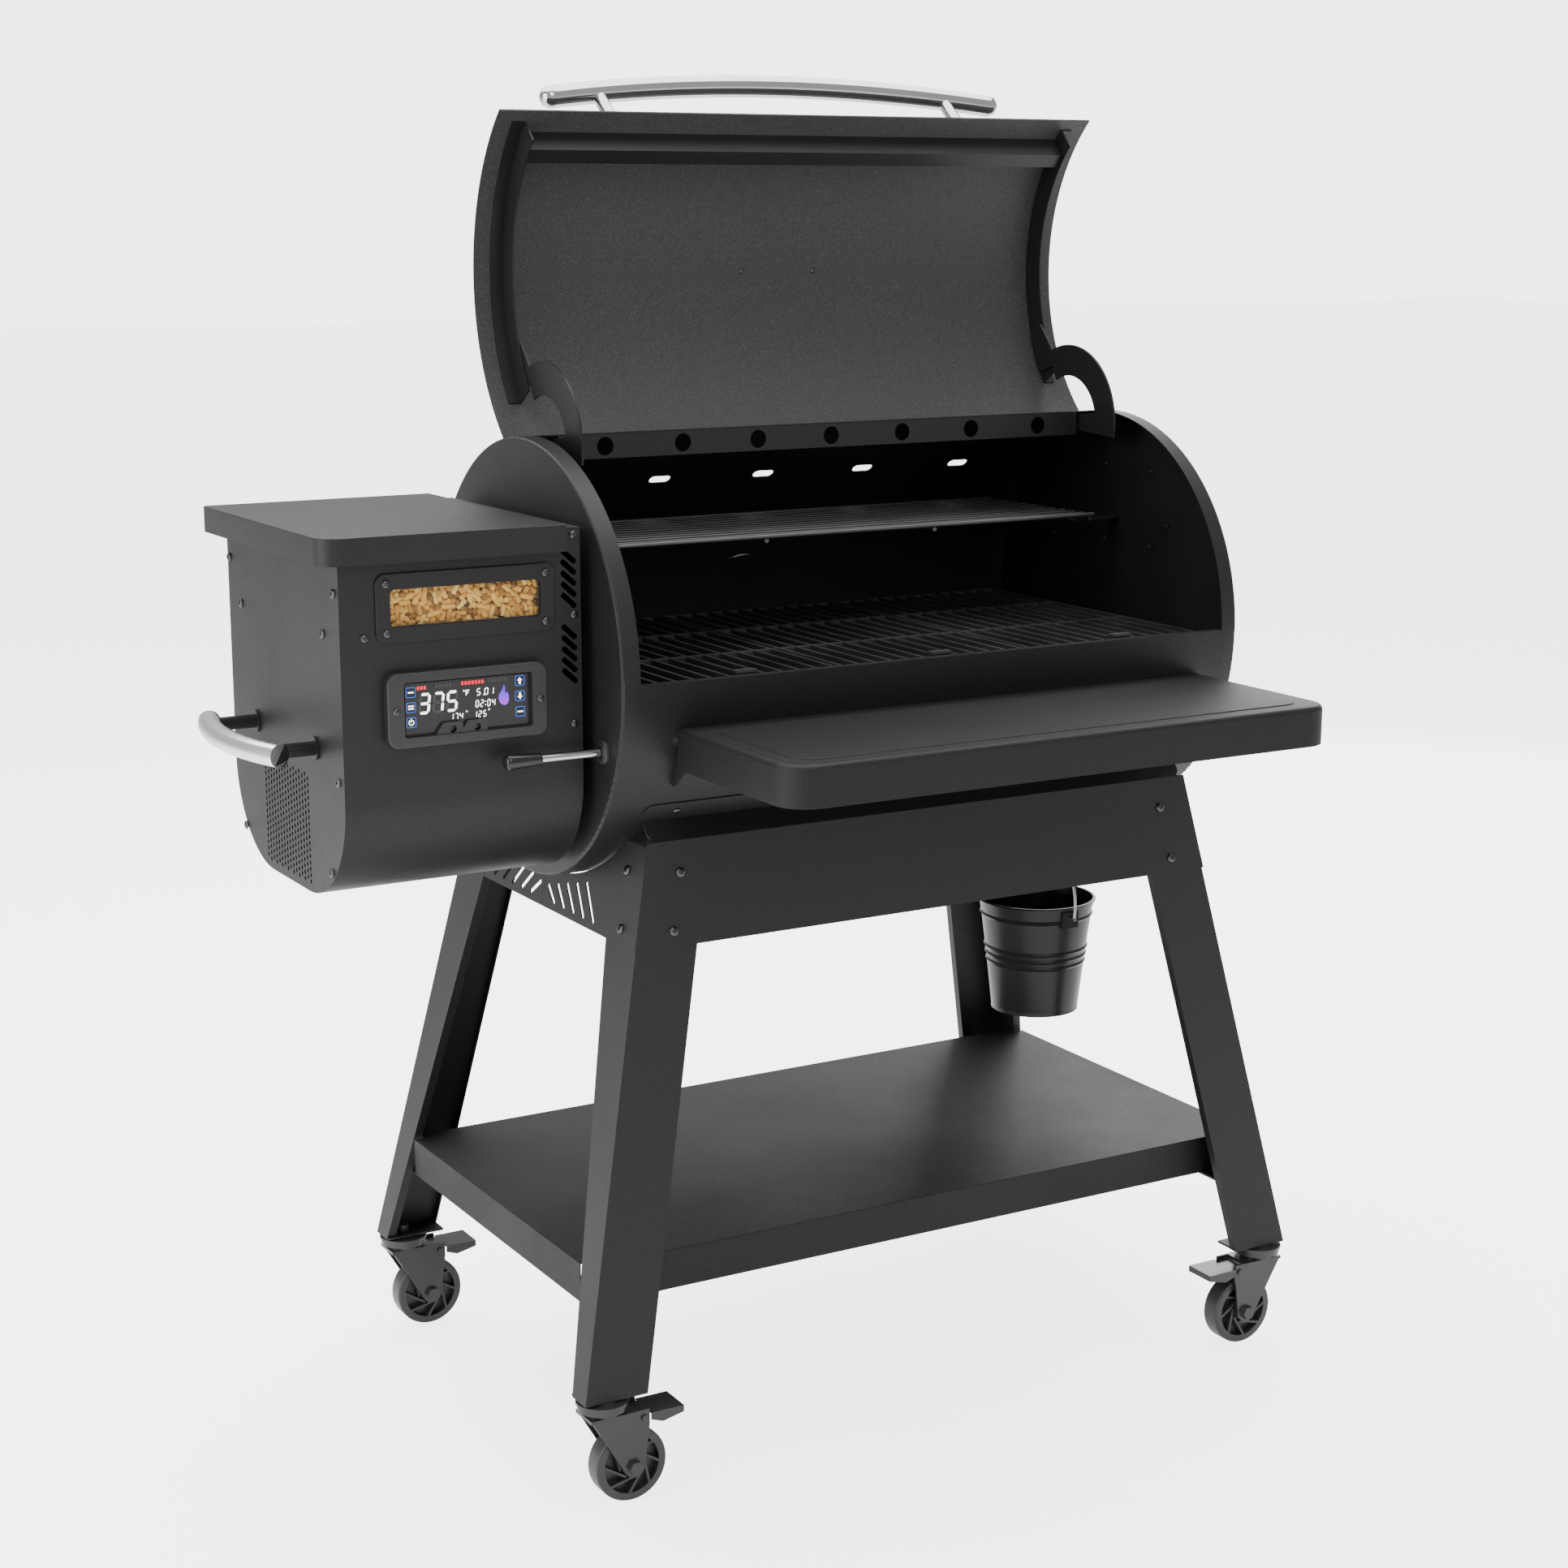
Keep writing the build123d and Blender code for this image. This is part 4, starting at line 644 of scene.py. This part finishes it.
def pellets():
    """Pellets pressed against the window and the loose top of the heap under the guard."""
    lo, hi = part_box("pellet_load")
    glo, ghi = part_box("window_glass")
    skin = max(lo.y, ghi.y) + 0.2 * MM
    low = (glo.x - 2 * MM, skin, glo.z - 4 * MM)
    high = (ghi.x + 2 * MM, skin + 24 * MM, min(ghi.z + 6 * MM, hi.z))
    bm = pellet_pile(low, high, 400, 0.22, 5, 60, 1, skin, shortest=6.0)
    front = piece("pellets_window", bm, WOOD, "frame", sharp=50)
    low = (lo.x + 3 * MM, lo.y + 26 * MM, hi.z - 12 * MM)
    high = (hi.x - 3 * MM, hi.y - 3 * MM, hi.z)
    bm = pellet_pile(low, high, 900, 0.25, 6, 6, 2, hi.z)
    piece("pellets_top", bm, WOOD, "frame", sharp=50)
    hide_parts("pellet_load")


# ---- controller face ----------------------------------------------------------------------------
SEGMENTS = {"0": "abcdef", "1": "bc", "2": "abged", "3": "abgcd", "4": "fgbc", "5": "afgcd", "6": "afgcde",
            "7": "abc", "8": "abcdefg", "9": "abcdfg", "S": "afgcd"}


def segment_outlines(x, z, w, h, t, lean=0.1):
    """The seven bars of a digit centred on (x, z), as outlines by letter."""
    half, gap = h / 2, t * 0.12

    def bar(ax, az, bx, bz):
        dx, dz = bx - ax, bz - az
        n = math.hypot(dx, dz)
        ux, uz = dx / n, dz / n
        a = (ax + ux * gap, az + uz * gap)
        b = (bx - ux * gap, bz - uz * gap)
        px, pz = -uz * t / 2, ux * t / 2
        cut = t / 2
        pts = [a, (a[0] + ux * cut + px, a[1] + uz * cut + pz), (b[0] - ux * cut + px, b[1] - uz * cut + pz),
               b, (b[0] - ux * cut - px, b[1] - uz * cut - pz), (a[0] + ux * cut - px, a[1] + uz * cut - pz)]
        return [(x + px_ + lean * pz_, z + pz_) for px_, pz_ in pts]

    l, r = -w / 2 + t / 2, w / 2 - t / 2
    top, low = half - t / 2, -half + t / 2
    return {"a": bar(l, top, r, top), "b": bar(r, top, r, 0), "c": bar(r, 0, r, low),
            "d": bar(l, low, r, low), "e": bar(l, 0, l, low), "f": bar(l, top, l, 0), "g": bar(l, 0, r, 0)}


def square(x, z, w, h, r, steps=5):
    """Rounded rectangle outline centred on (x, z)."""
    pts = []
    for cx, cz, start in ((w / 2 - r, h / 2 - r, 0), (-w / 2 + r, h / 2 - r, 90),
                          (-w / 2 + r, -h / 2 + r, 180), (w / 2 - r, -h / 2 + r, 270)):
        for i in range(steps + 1):
            a = math.radians(start + 90 * i / steps)
            pts.append((x + cx + r * math.cos(a), z + cz + r * math.sin(a)))
    return pts


def frame_band(bm, x, z, size, r, band, y, depth):
    """Thin square outline as four joined strips."""
    outer, inner = square(x, z, size, size, r), square(x, z, size - 2 * band, size - 2 * band, r - band * 0.8)
    n = len(outer)
    for i in range(n):
        j = (i + 1) % n
        slab(bm, [outer[i], outer[j], inner[j], inner[i]], y, depth)


def flame_outline(x, z, w, h):
    """Flame with a curled tip."""
    shape = [(0.02, 0.5), (0.16, 0.30), (0.10, 0.16), (0.30, 0.02), (0.34, 0.16), (0.46, -0.06),
             (0.48, -0.26), (0.34, -0.44), (0.08, -0.5), (-0.16, -0.46), (-0.38, -0.34), (-0.5, -0.14),
             (-0.42, 0.04), (-0.24, 0.16), (-0.1, 0.3)]
    return [(x + w * px, z + h * pz) for px, pz in shape]


def arrow(x, z, w, h, up):
    """Block arrow centred on (x, z)."""
    s = 1 if up else -1
    pts = [(0, 0.5), (0.5, 0.02), (0.22, 0.02), (0.22, -0.5), (-0.22, -0.5), (-0.22, 0.02), (-0.5, 0.02)]
    return [(x + w * px, z + s * h * pz) for px, pz in pts]


MARK_LIFT = 0.12 * MM
KEY_LEVEL = 1.4


class Face:
    """Marks on the display, in millimetres from its top left corner, gathered by kind."""

    def __init__(self):
        self.low, self.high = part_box("control_display")
        self.layers = {key: bmesh.new() for key in ("white", "ghost", "blue", "red", "flame", "key")}

    def at(self, x, z):
        return self.low.x + x * MM, self.high.z + z * MM

    def mark(self, layer, outline, level=1.0):
        slab(self.layers[layer], outline, self.low.y, MARK_LIFT * level)

    def band(self, layer, x, z, size, r, width, level=1.0):
        cx, cz = self.at(x, z)
        frame_band(self.layers[layer], cx, cz, size * MM, r * MM, width * MM, self.low.y, MARK_LIFT * level)

    def dot(self, x, z, size):
        cx, cz = self.at(x, z)
        self.mark("white", square(cx, cz, size * MM, size * MM, 0.3 * size * MM))

    def digits(self, text, x, z, w, h, t, step, ghost=False):
        """Row of seven-segment digits of width w, height h and bar t, with the first at (x, z)."""
        for ch in text:
            if ch == ":":
                for dz in (-0.22, 0.22):
                    self.dot(x - step * 0.25 + dz * 0.1 * h, z + dz * h, t)
                x += step * 0.5
                continue
            if ch == ".":
                self.dot(x - step * 0.1, z - h / 2 + t / 2, t)
                x += step * 0.4
                continue
            cx, cz = self.at(x, z)
            for key, line in segment_outlines(cx, cz, w * MM, h * MM, t * MM).items():
                lit = key in SEGMENTS[ch]
                if lit or ghost:
                    self.mark("white" if lit else "ghost", line)
            x += step

    def degree_marks(self):
        """Degree rings and the letter of the scale."""
        for x, z in ((69.0, -13.0), (71.8, -36.2), (98.6, -36.2)):
            self.band("white", x, z, 2.0, 0.8, 0.55)
        cx, cz = self.at(73.2, -15.4)
        for dx, dz, w, h in ((-1.6, 0, 1.1, 6.0), (0.4, 2.5, 3.6, 1.1), (0, -0.1, 2.8, 1.0)):
            self.mark("white", square(cx + dx * MM, cz + dz * MM, w * MM, h * MM, 0.3 * MM))

    def label_blocks(self):
        """Rows of plain blocks that stand in for the words along the top."""
        for x, z, blocks, layer in ((15.2, -5.6, 3, "red"), (37.0, -5.2, 5, "ghost"),
                                    (67.5, -4.6, 7, "red"), (98.8, -3.8, 6, "ghost")):
            for i in range(blocks):
                cx, cz = self.at(x + 4.0 * i, z)
                self.mark(layer, square(cx, cz, 2.9 * MM, 4.2 * MM, 0.7 * MM))

    def power_sign(self, cx, cz):
        """Open ring with a bar through its gap."""
        steps = 24
        for i in range(steps):
            a, b = (math.radians(125 + 290 * k / steps) for k in (i, i + 1))
            quad = [(cx + r * MM * math.cos(t), cz + r * MM * math.sin(t))
                    for r, t in ((3.4, a), (3.4, b), (2.3, b), (2.3, a))]
            self.mark("white", quad, KEY_LEVEL)
        self.mark("white", square(cx, cz + 2.2 * MM, 1.1 * MM, 4.4 * MM, 0.4 * MM), KEY_LEVEL)

    def key(self, x, z, kind):
        """One touch key: dark face, blue outline and a white sign."""
        cx, cz = self.at(x, z)
        self.mark("key", square(cx, cz, 11.0 * MM, 11.0 * MM, 1.6 * MM), 0.6)
        self.band("blue", x, z, 11.4, 1.9, 0.75, KEY_LEVEL)
        if kind in ("up", "down"):
            self.mark("white", arrow(cx, cz, 6.2 * MM, 7.4 * MM, kind == "up"), KEY_LEVEL)
        elif kind == "power":
            self.power_sign(cx, cz)
        else:
            for dz in ((0,) if kind == "bar" else (-1.5, 1.5)):
                self.mark("white", square(cx, cz + dz * MM, 7.0 * MM, 1.7 * MM, 0.7 * MM), KEY_LEVEL)


def controller_face():
    """Lit digits, key outlines and marks on the display, numbers and symbols only."""
    face = Face()
    face.digits("375", 22.5, -23.2, 13.4, 23.5, 3.1, 16.2, ghost=True)
    face.digits("S.01", 86.5, -15.8, 4.9, 8.2, 1.2, 6.6)
    face.digits("02:04", 84.6, -28.8, 4.2, 8.2, 1.1, 5.6)
    face.digits("174", 54.2, -40.4, 4.2, 7.4, 1.1, 5.6)
    face.digits("125", 82.0, -40.4, 4.2, 7.4, 1.1, 5.6)
    face.degree_marks()
    face.label_blocks()
    for x, z, kind in ((6.6, -9.6, "bar"), (6.6, -26.1, "bars"), (6.6, -42.7, "power"),
                       (136.1, -7.4, "up"), (136.1, -24.6, "down"), (136.1, -42.1, "bar")):
        face.key(x, z, kind)
    cx, cz = face.at(116.5, -21.5)
    face.mark("flame", flame_outline(cx, cz, 13.0 * MM, 23.5 * MM))
    looks = {"white": glow("lit_white", (0.95, 0.96, 1.0), 2.2),
             "ghost": plastic("unlit_segment", 0.045, 0.3),
             "blue": glow("lit_blue", (0.01, 0.10, 0.62), 1.1),
             "red": glow("lit_red", (0.85, 0.004, 0.03), 1.1),
             "key": plastic("key_face", 0.006, 0.25), "flame": flame_mat()}
    for key, bm in face.layers.items():
        piece("display_" + key, bm, looks[key], "frame", smooth=False)


def flame_mat():
    """Violet flame, bluer towards its tip."""
    s = Shader("lit_flame")
    lo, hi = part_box("control_display")
    parts = s.node("ShaderNodeSeparateXYZ")
    s.link(s.coord, parts.inputs["Vector"])
    rise = s.node("ShaderNodeMapRange")
    rise.inputs["From Min"].default_value = hi.z - 33 * MM
    rise.inputs["From Max"].default_value = hi.z - 12 * MM
    s.link(parts.outputs["Z"], rise.inputs["Value"])
    lit = s.ramp(rise.outputs["Result"], [(0.0, (0.42, 0.02, 0.75)), (0.5, (0.17, 0.015, 0.85)),
                                          (1.0, (0.05, 0.02, 0.7))])
    s.colour(lit)
    s.set(Roughness=0.4, Emission_Strength=0.9)
    s.link(lit, s.bsdf.inputs["Emission Color"])
    return s.mat


# ---- small things in the chamber ----------------------------------------------------------------
CAP_SHEET = 1.4 * MM
TAB_SPOTS = [(17, 187.5), (-80, 185), (-114, 117), (17, 88), (-81, 87), (133, 84)]
TAB_ARCH = [(-6, 0), (-6, 2.2), (-4.6, 4.4), (-1.8, 5.4), (1.8, 5.4), (4.6, 4.4), (6, 2.2), (6, 0)]
TAB_HEIGHT = 3.2
TAB_THICK = 1.2
PROBE_ROUTE = [(-26, 247, 64), (-22, 236, 66), (-8, 230, 71), (8, 231, 70), (20, 240, 60)]
LID_SCREWS_X = (-53.5, 50.2)
LID_SCREW_Z = 1388.6 * MM
LID_SCREW_R = 3.4 * MM


def tube(name, points, radius, mat, body):
    """Round wire through the points."""
    curve = bpy.data.curves.new(name, "CURVE")
    curve.dimensions = "3D"
    curve.bevel_depth = radius
    curve.bevel_resolution = 5
    curve.use_fill_caps = True
    spline = curve.splines.new("NURBS")
    spline.points.add(len(points) - 1)
    for point, co in zip(spline.points, points):
        point.co = (*co, 1.0)
    spline.use_endpoint_u = True
    spline.order_u = 3
    obj = bpy.data.objects.new(name, curve)
    bpy.context.scene.collection.objects.link(obj)
    dress(obj, mat)
    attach(obj, body)


def punched_tab(bm, place):
    """Small bridge of sheet; place(along, up, out) gives a point from millimetres."""
    for (a, reach_a), (b, reach_b) in zip(TAB_ARCH, TAB_ARCH[1:]):
        corners = [place(y, up, out) for y, reach in ((a, reach_a), (b, reach_b))
                   for up in (0, TAB_HEIGHT) for out in (max(reach - TAB_THICK, 0), reach)]
        v = [bm.verts.new(p) for p in corners]
        for q in ((0, 1, 3, 2), (4, 6, 7, 5), (1, 5, 7, 3), (0, 2, 6, 4), (0, 4, 5, 1), (2, 3, 7, 6)):
            bm.faces.new([v[i] for i in q])


def cap_tabs():
    """Punched tabs on the inner faces of both end caps."""
    axis_y, axis_z = barrel_axis()
    bm = bmesh.new()
    for side, node in ((-1, "end_cap_left"), (1, "end_cap_right")):
        lo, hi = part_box(node)
        wall = (hi.x if side > 0 else lo.x) - side * CAP_SHEET
        for dy, dz in TAB_SPOTS:
            def place(along, up, out, dy=dy, dz=dz, wall=wall, side=side):
                return Vector((wall - side * out * MM, axis_y + (dy + along) * MM, axis_z + (dz + up) * MM))
            punched_tab(bm, place)
    bmesh.ops.remove_doubles(bm, verts=bm.verts, dist=1e-6)
    piece("cap_tabs", bm, CHAMBER_SHADED, "frame", sharp=30)


def temperature_probe():
    """Bent probe on the back wall of the chamber."""
    axis_y, axis_z = barrel_axis()
    low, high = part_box("lid_skin")
    middle = (low.x + high.x) / 2
    points = [(middle + x * MM, axis_y + y * MM, axis_z + z * MM) for x, y, z in PROBE_ROUTE]
    tube("temperature_probe", points, 1.4 * MM, ZINC, "frame")


def lid_inner_screws():
    """The two screws that show on the inner face of the lid."""
    low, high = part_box("lid_skin")
    middle = (low.x + high.x) / 2
    template = screw_template()
    turn = Vector((0, -1, -0.02)).to_track_quat("Z", "Y").to_matrix().to_4x4()
    bm = bmesh.new()
    for x in LID_SCREWS_X:
        seat = Matrix.Translation((middle + x * MM, high.y - 2.1 * MM, LID_SCREW_Z))
        stamp(bm, template, seat @ turn @ Matrix.Scale(LID_SCREW_R, 4))
    piece("lid_inner_screws", bm, SCREW, "lid")
    bpy.data.meshes.remove(template)


screw_heads()
lever_grommet()
cap_tabs()
temperature_probe()
lid_inner_screws()
pellets()
controller_face()


# ---- studio -------------------------------------------------------------------------------------
def seen_level(tree, socket, lit, seen):
    """One level where the surface lights the room and a brighter one where it is seen directly."""
    path = tree.nodes.new("ShaderNodeLightPath")
    level = tree.nodes.new("ShaderNodeMapRange")
    level.inputs["To Min"].default_value = lit
    level.inputs["To Max"].default_value = seen
    tree.links.new(path.outputs["Is Camera Ray"], level.inputs["Value"])
    tree.links.new(level.outputs["Result"], socket)


def studio():
    """White room: plain floor, white surround and soft lamps."""
    world = bpy.data.worlds.new("studio")
    bpy.context.scene.world = world
    world.use_nodes = True
    back = world.node_tree.nodes["Background"]
    back.inputs["Color"].default_value = (1, 1, 1, 1)
    seen_level(world.node_tree, back.inputs["Strength"], 0.55, 4.2)
    bpy.ops.mesh.primitive_plane_add(size=60, location=(0, 0, 0))
    floor = bpy.context.object
    floor.name = "stage_floor"
    s = Shader("floor_paint")
    s.colour(s.ramp(s.noise(0.6), [(0.3, (0.86, 0.86, 0.86)), (0.7, (0.89, 0.89, 0.89))]))
    s.set(Roughness=0.9, Emission_Color=(1, 1, 1, 1))
    seen_level(s.tree, s.bsdf.inputs["Emission Strength"], 0.55, 3.4)
    dress(floor, s.mat)
    floor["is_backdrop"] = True
    lights = (("top", (0.1, 0.9, 3.7), 4.6, 270), ("front_high", (-0.6, -3.4, 3.6), 2.6, 60),
              ("left", (-4.4, -0.2, 1.9), 3.4, 150), ("right_back", (3.6, 2.6, 1.8), 2.6, 90))
    for name, at, size, watts in lights:
        data = bpy.data.lights.new(name, "AREA")
        data.size = size
        data.energy = watts
        lamp = bpy.data.objects.new(name, data)
        lamp.location = at
        bpy.context.scene.collection.objects.link(lamp)
        aim = Vector((0.0, 0.0, 0.8)) - Vector(at)
        lamp.rotation_euler = aim.to_track_quat("-Z", "Y").to_euler()


def camera():
    """Camera at the height and angle that the object is usually shown from."""
    data = bpy.data.cameras.new("camera")
    data.lens, data.sensor_width = CAMERA_LENS, CAMERA_SENSOR
    cam = bpy.data.objects.new("camera", data)
    cam.location = CAMERA_AT
    cam.rotation_euler = (math.radians(90 - CAMERA_PITCH), 0, math.radians(-CAMERA_YAW))
    bpy.context.scene.collection.objects.link(cam)
    bpy.context.scene.camera = cam


studio()
camera()
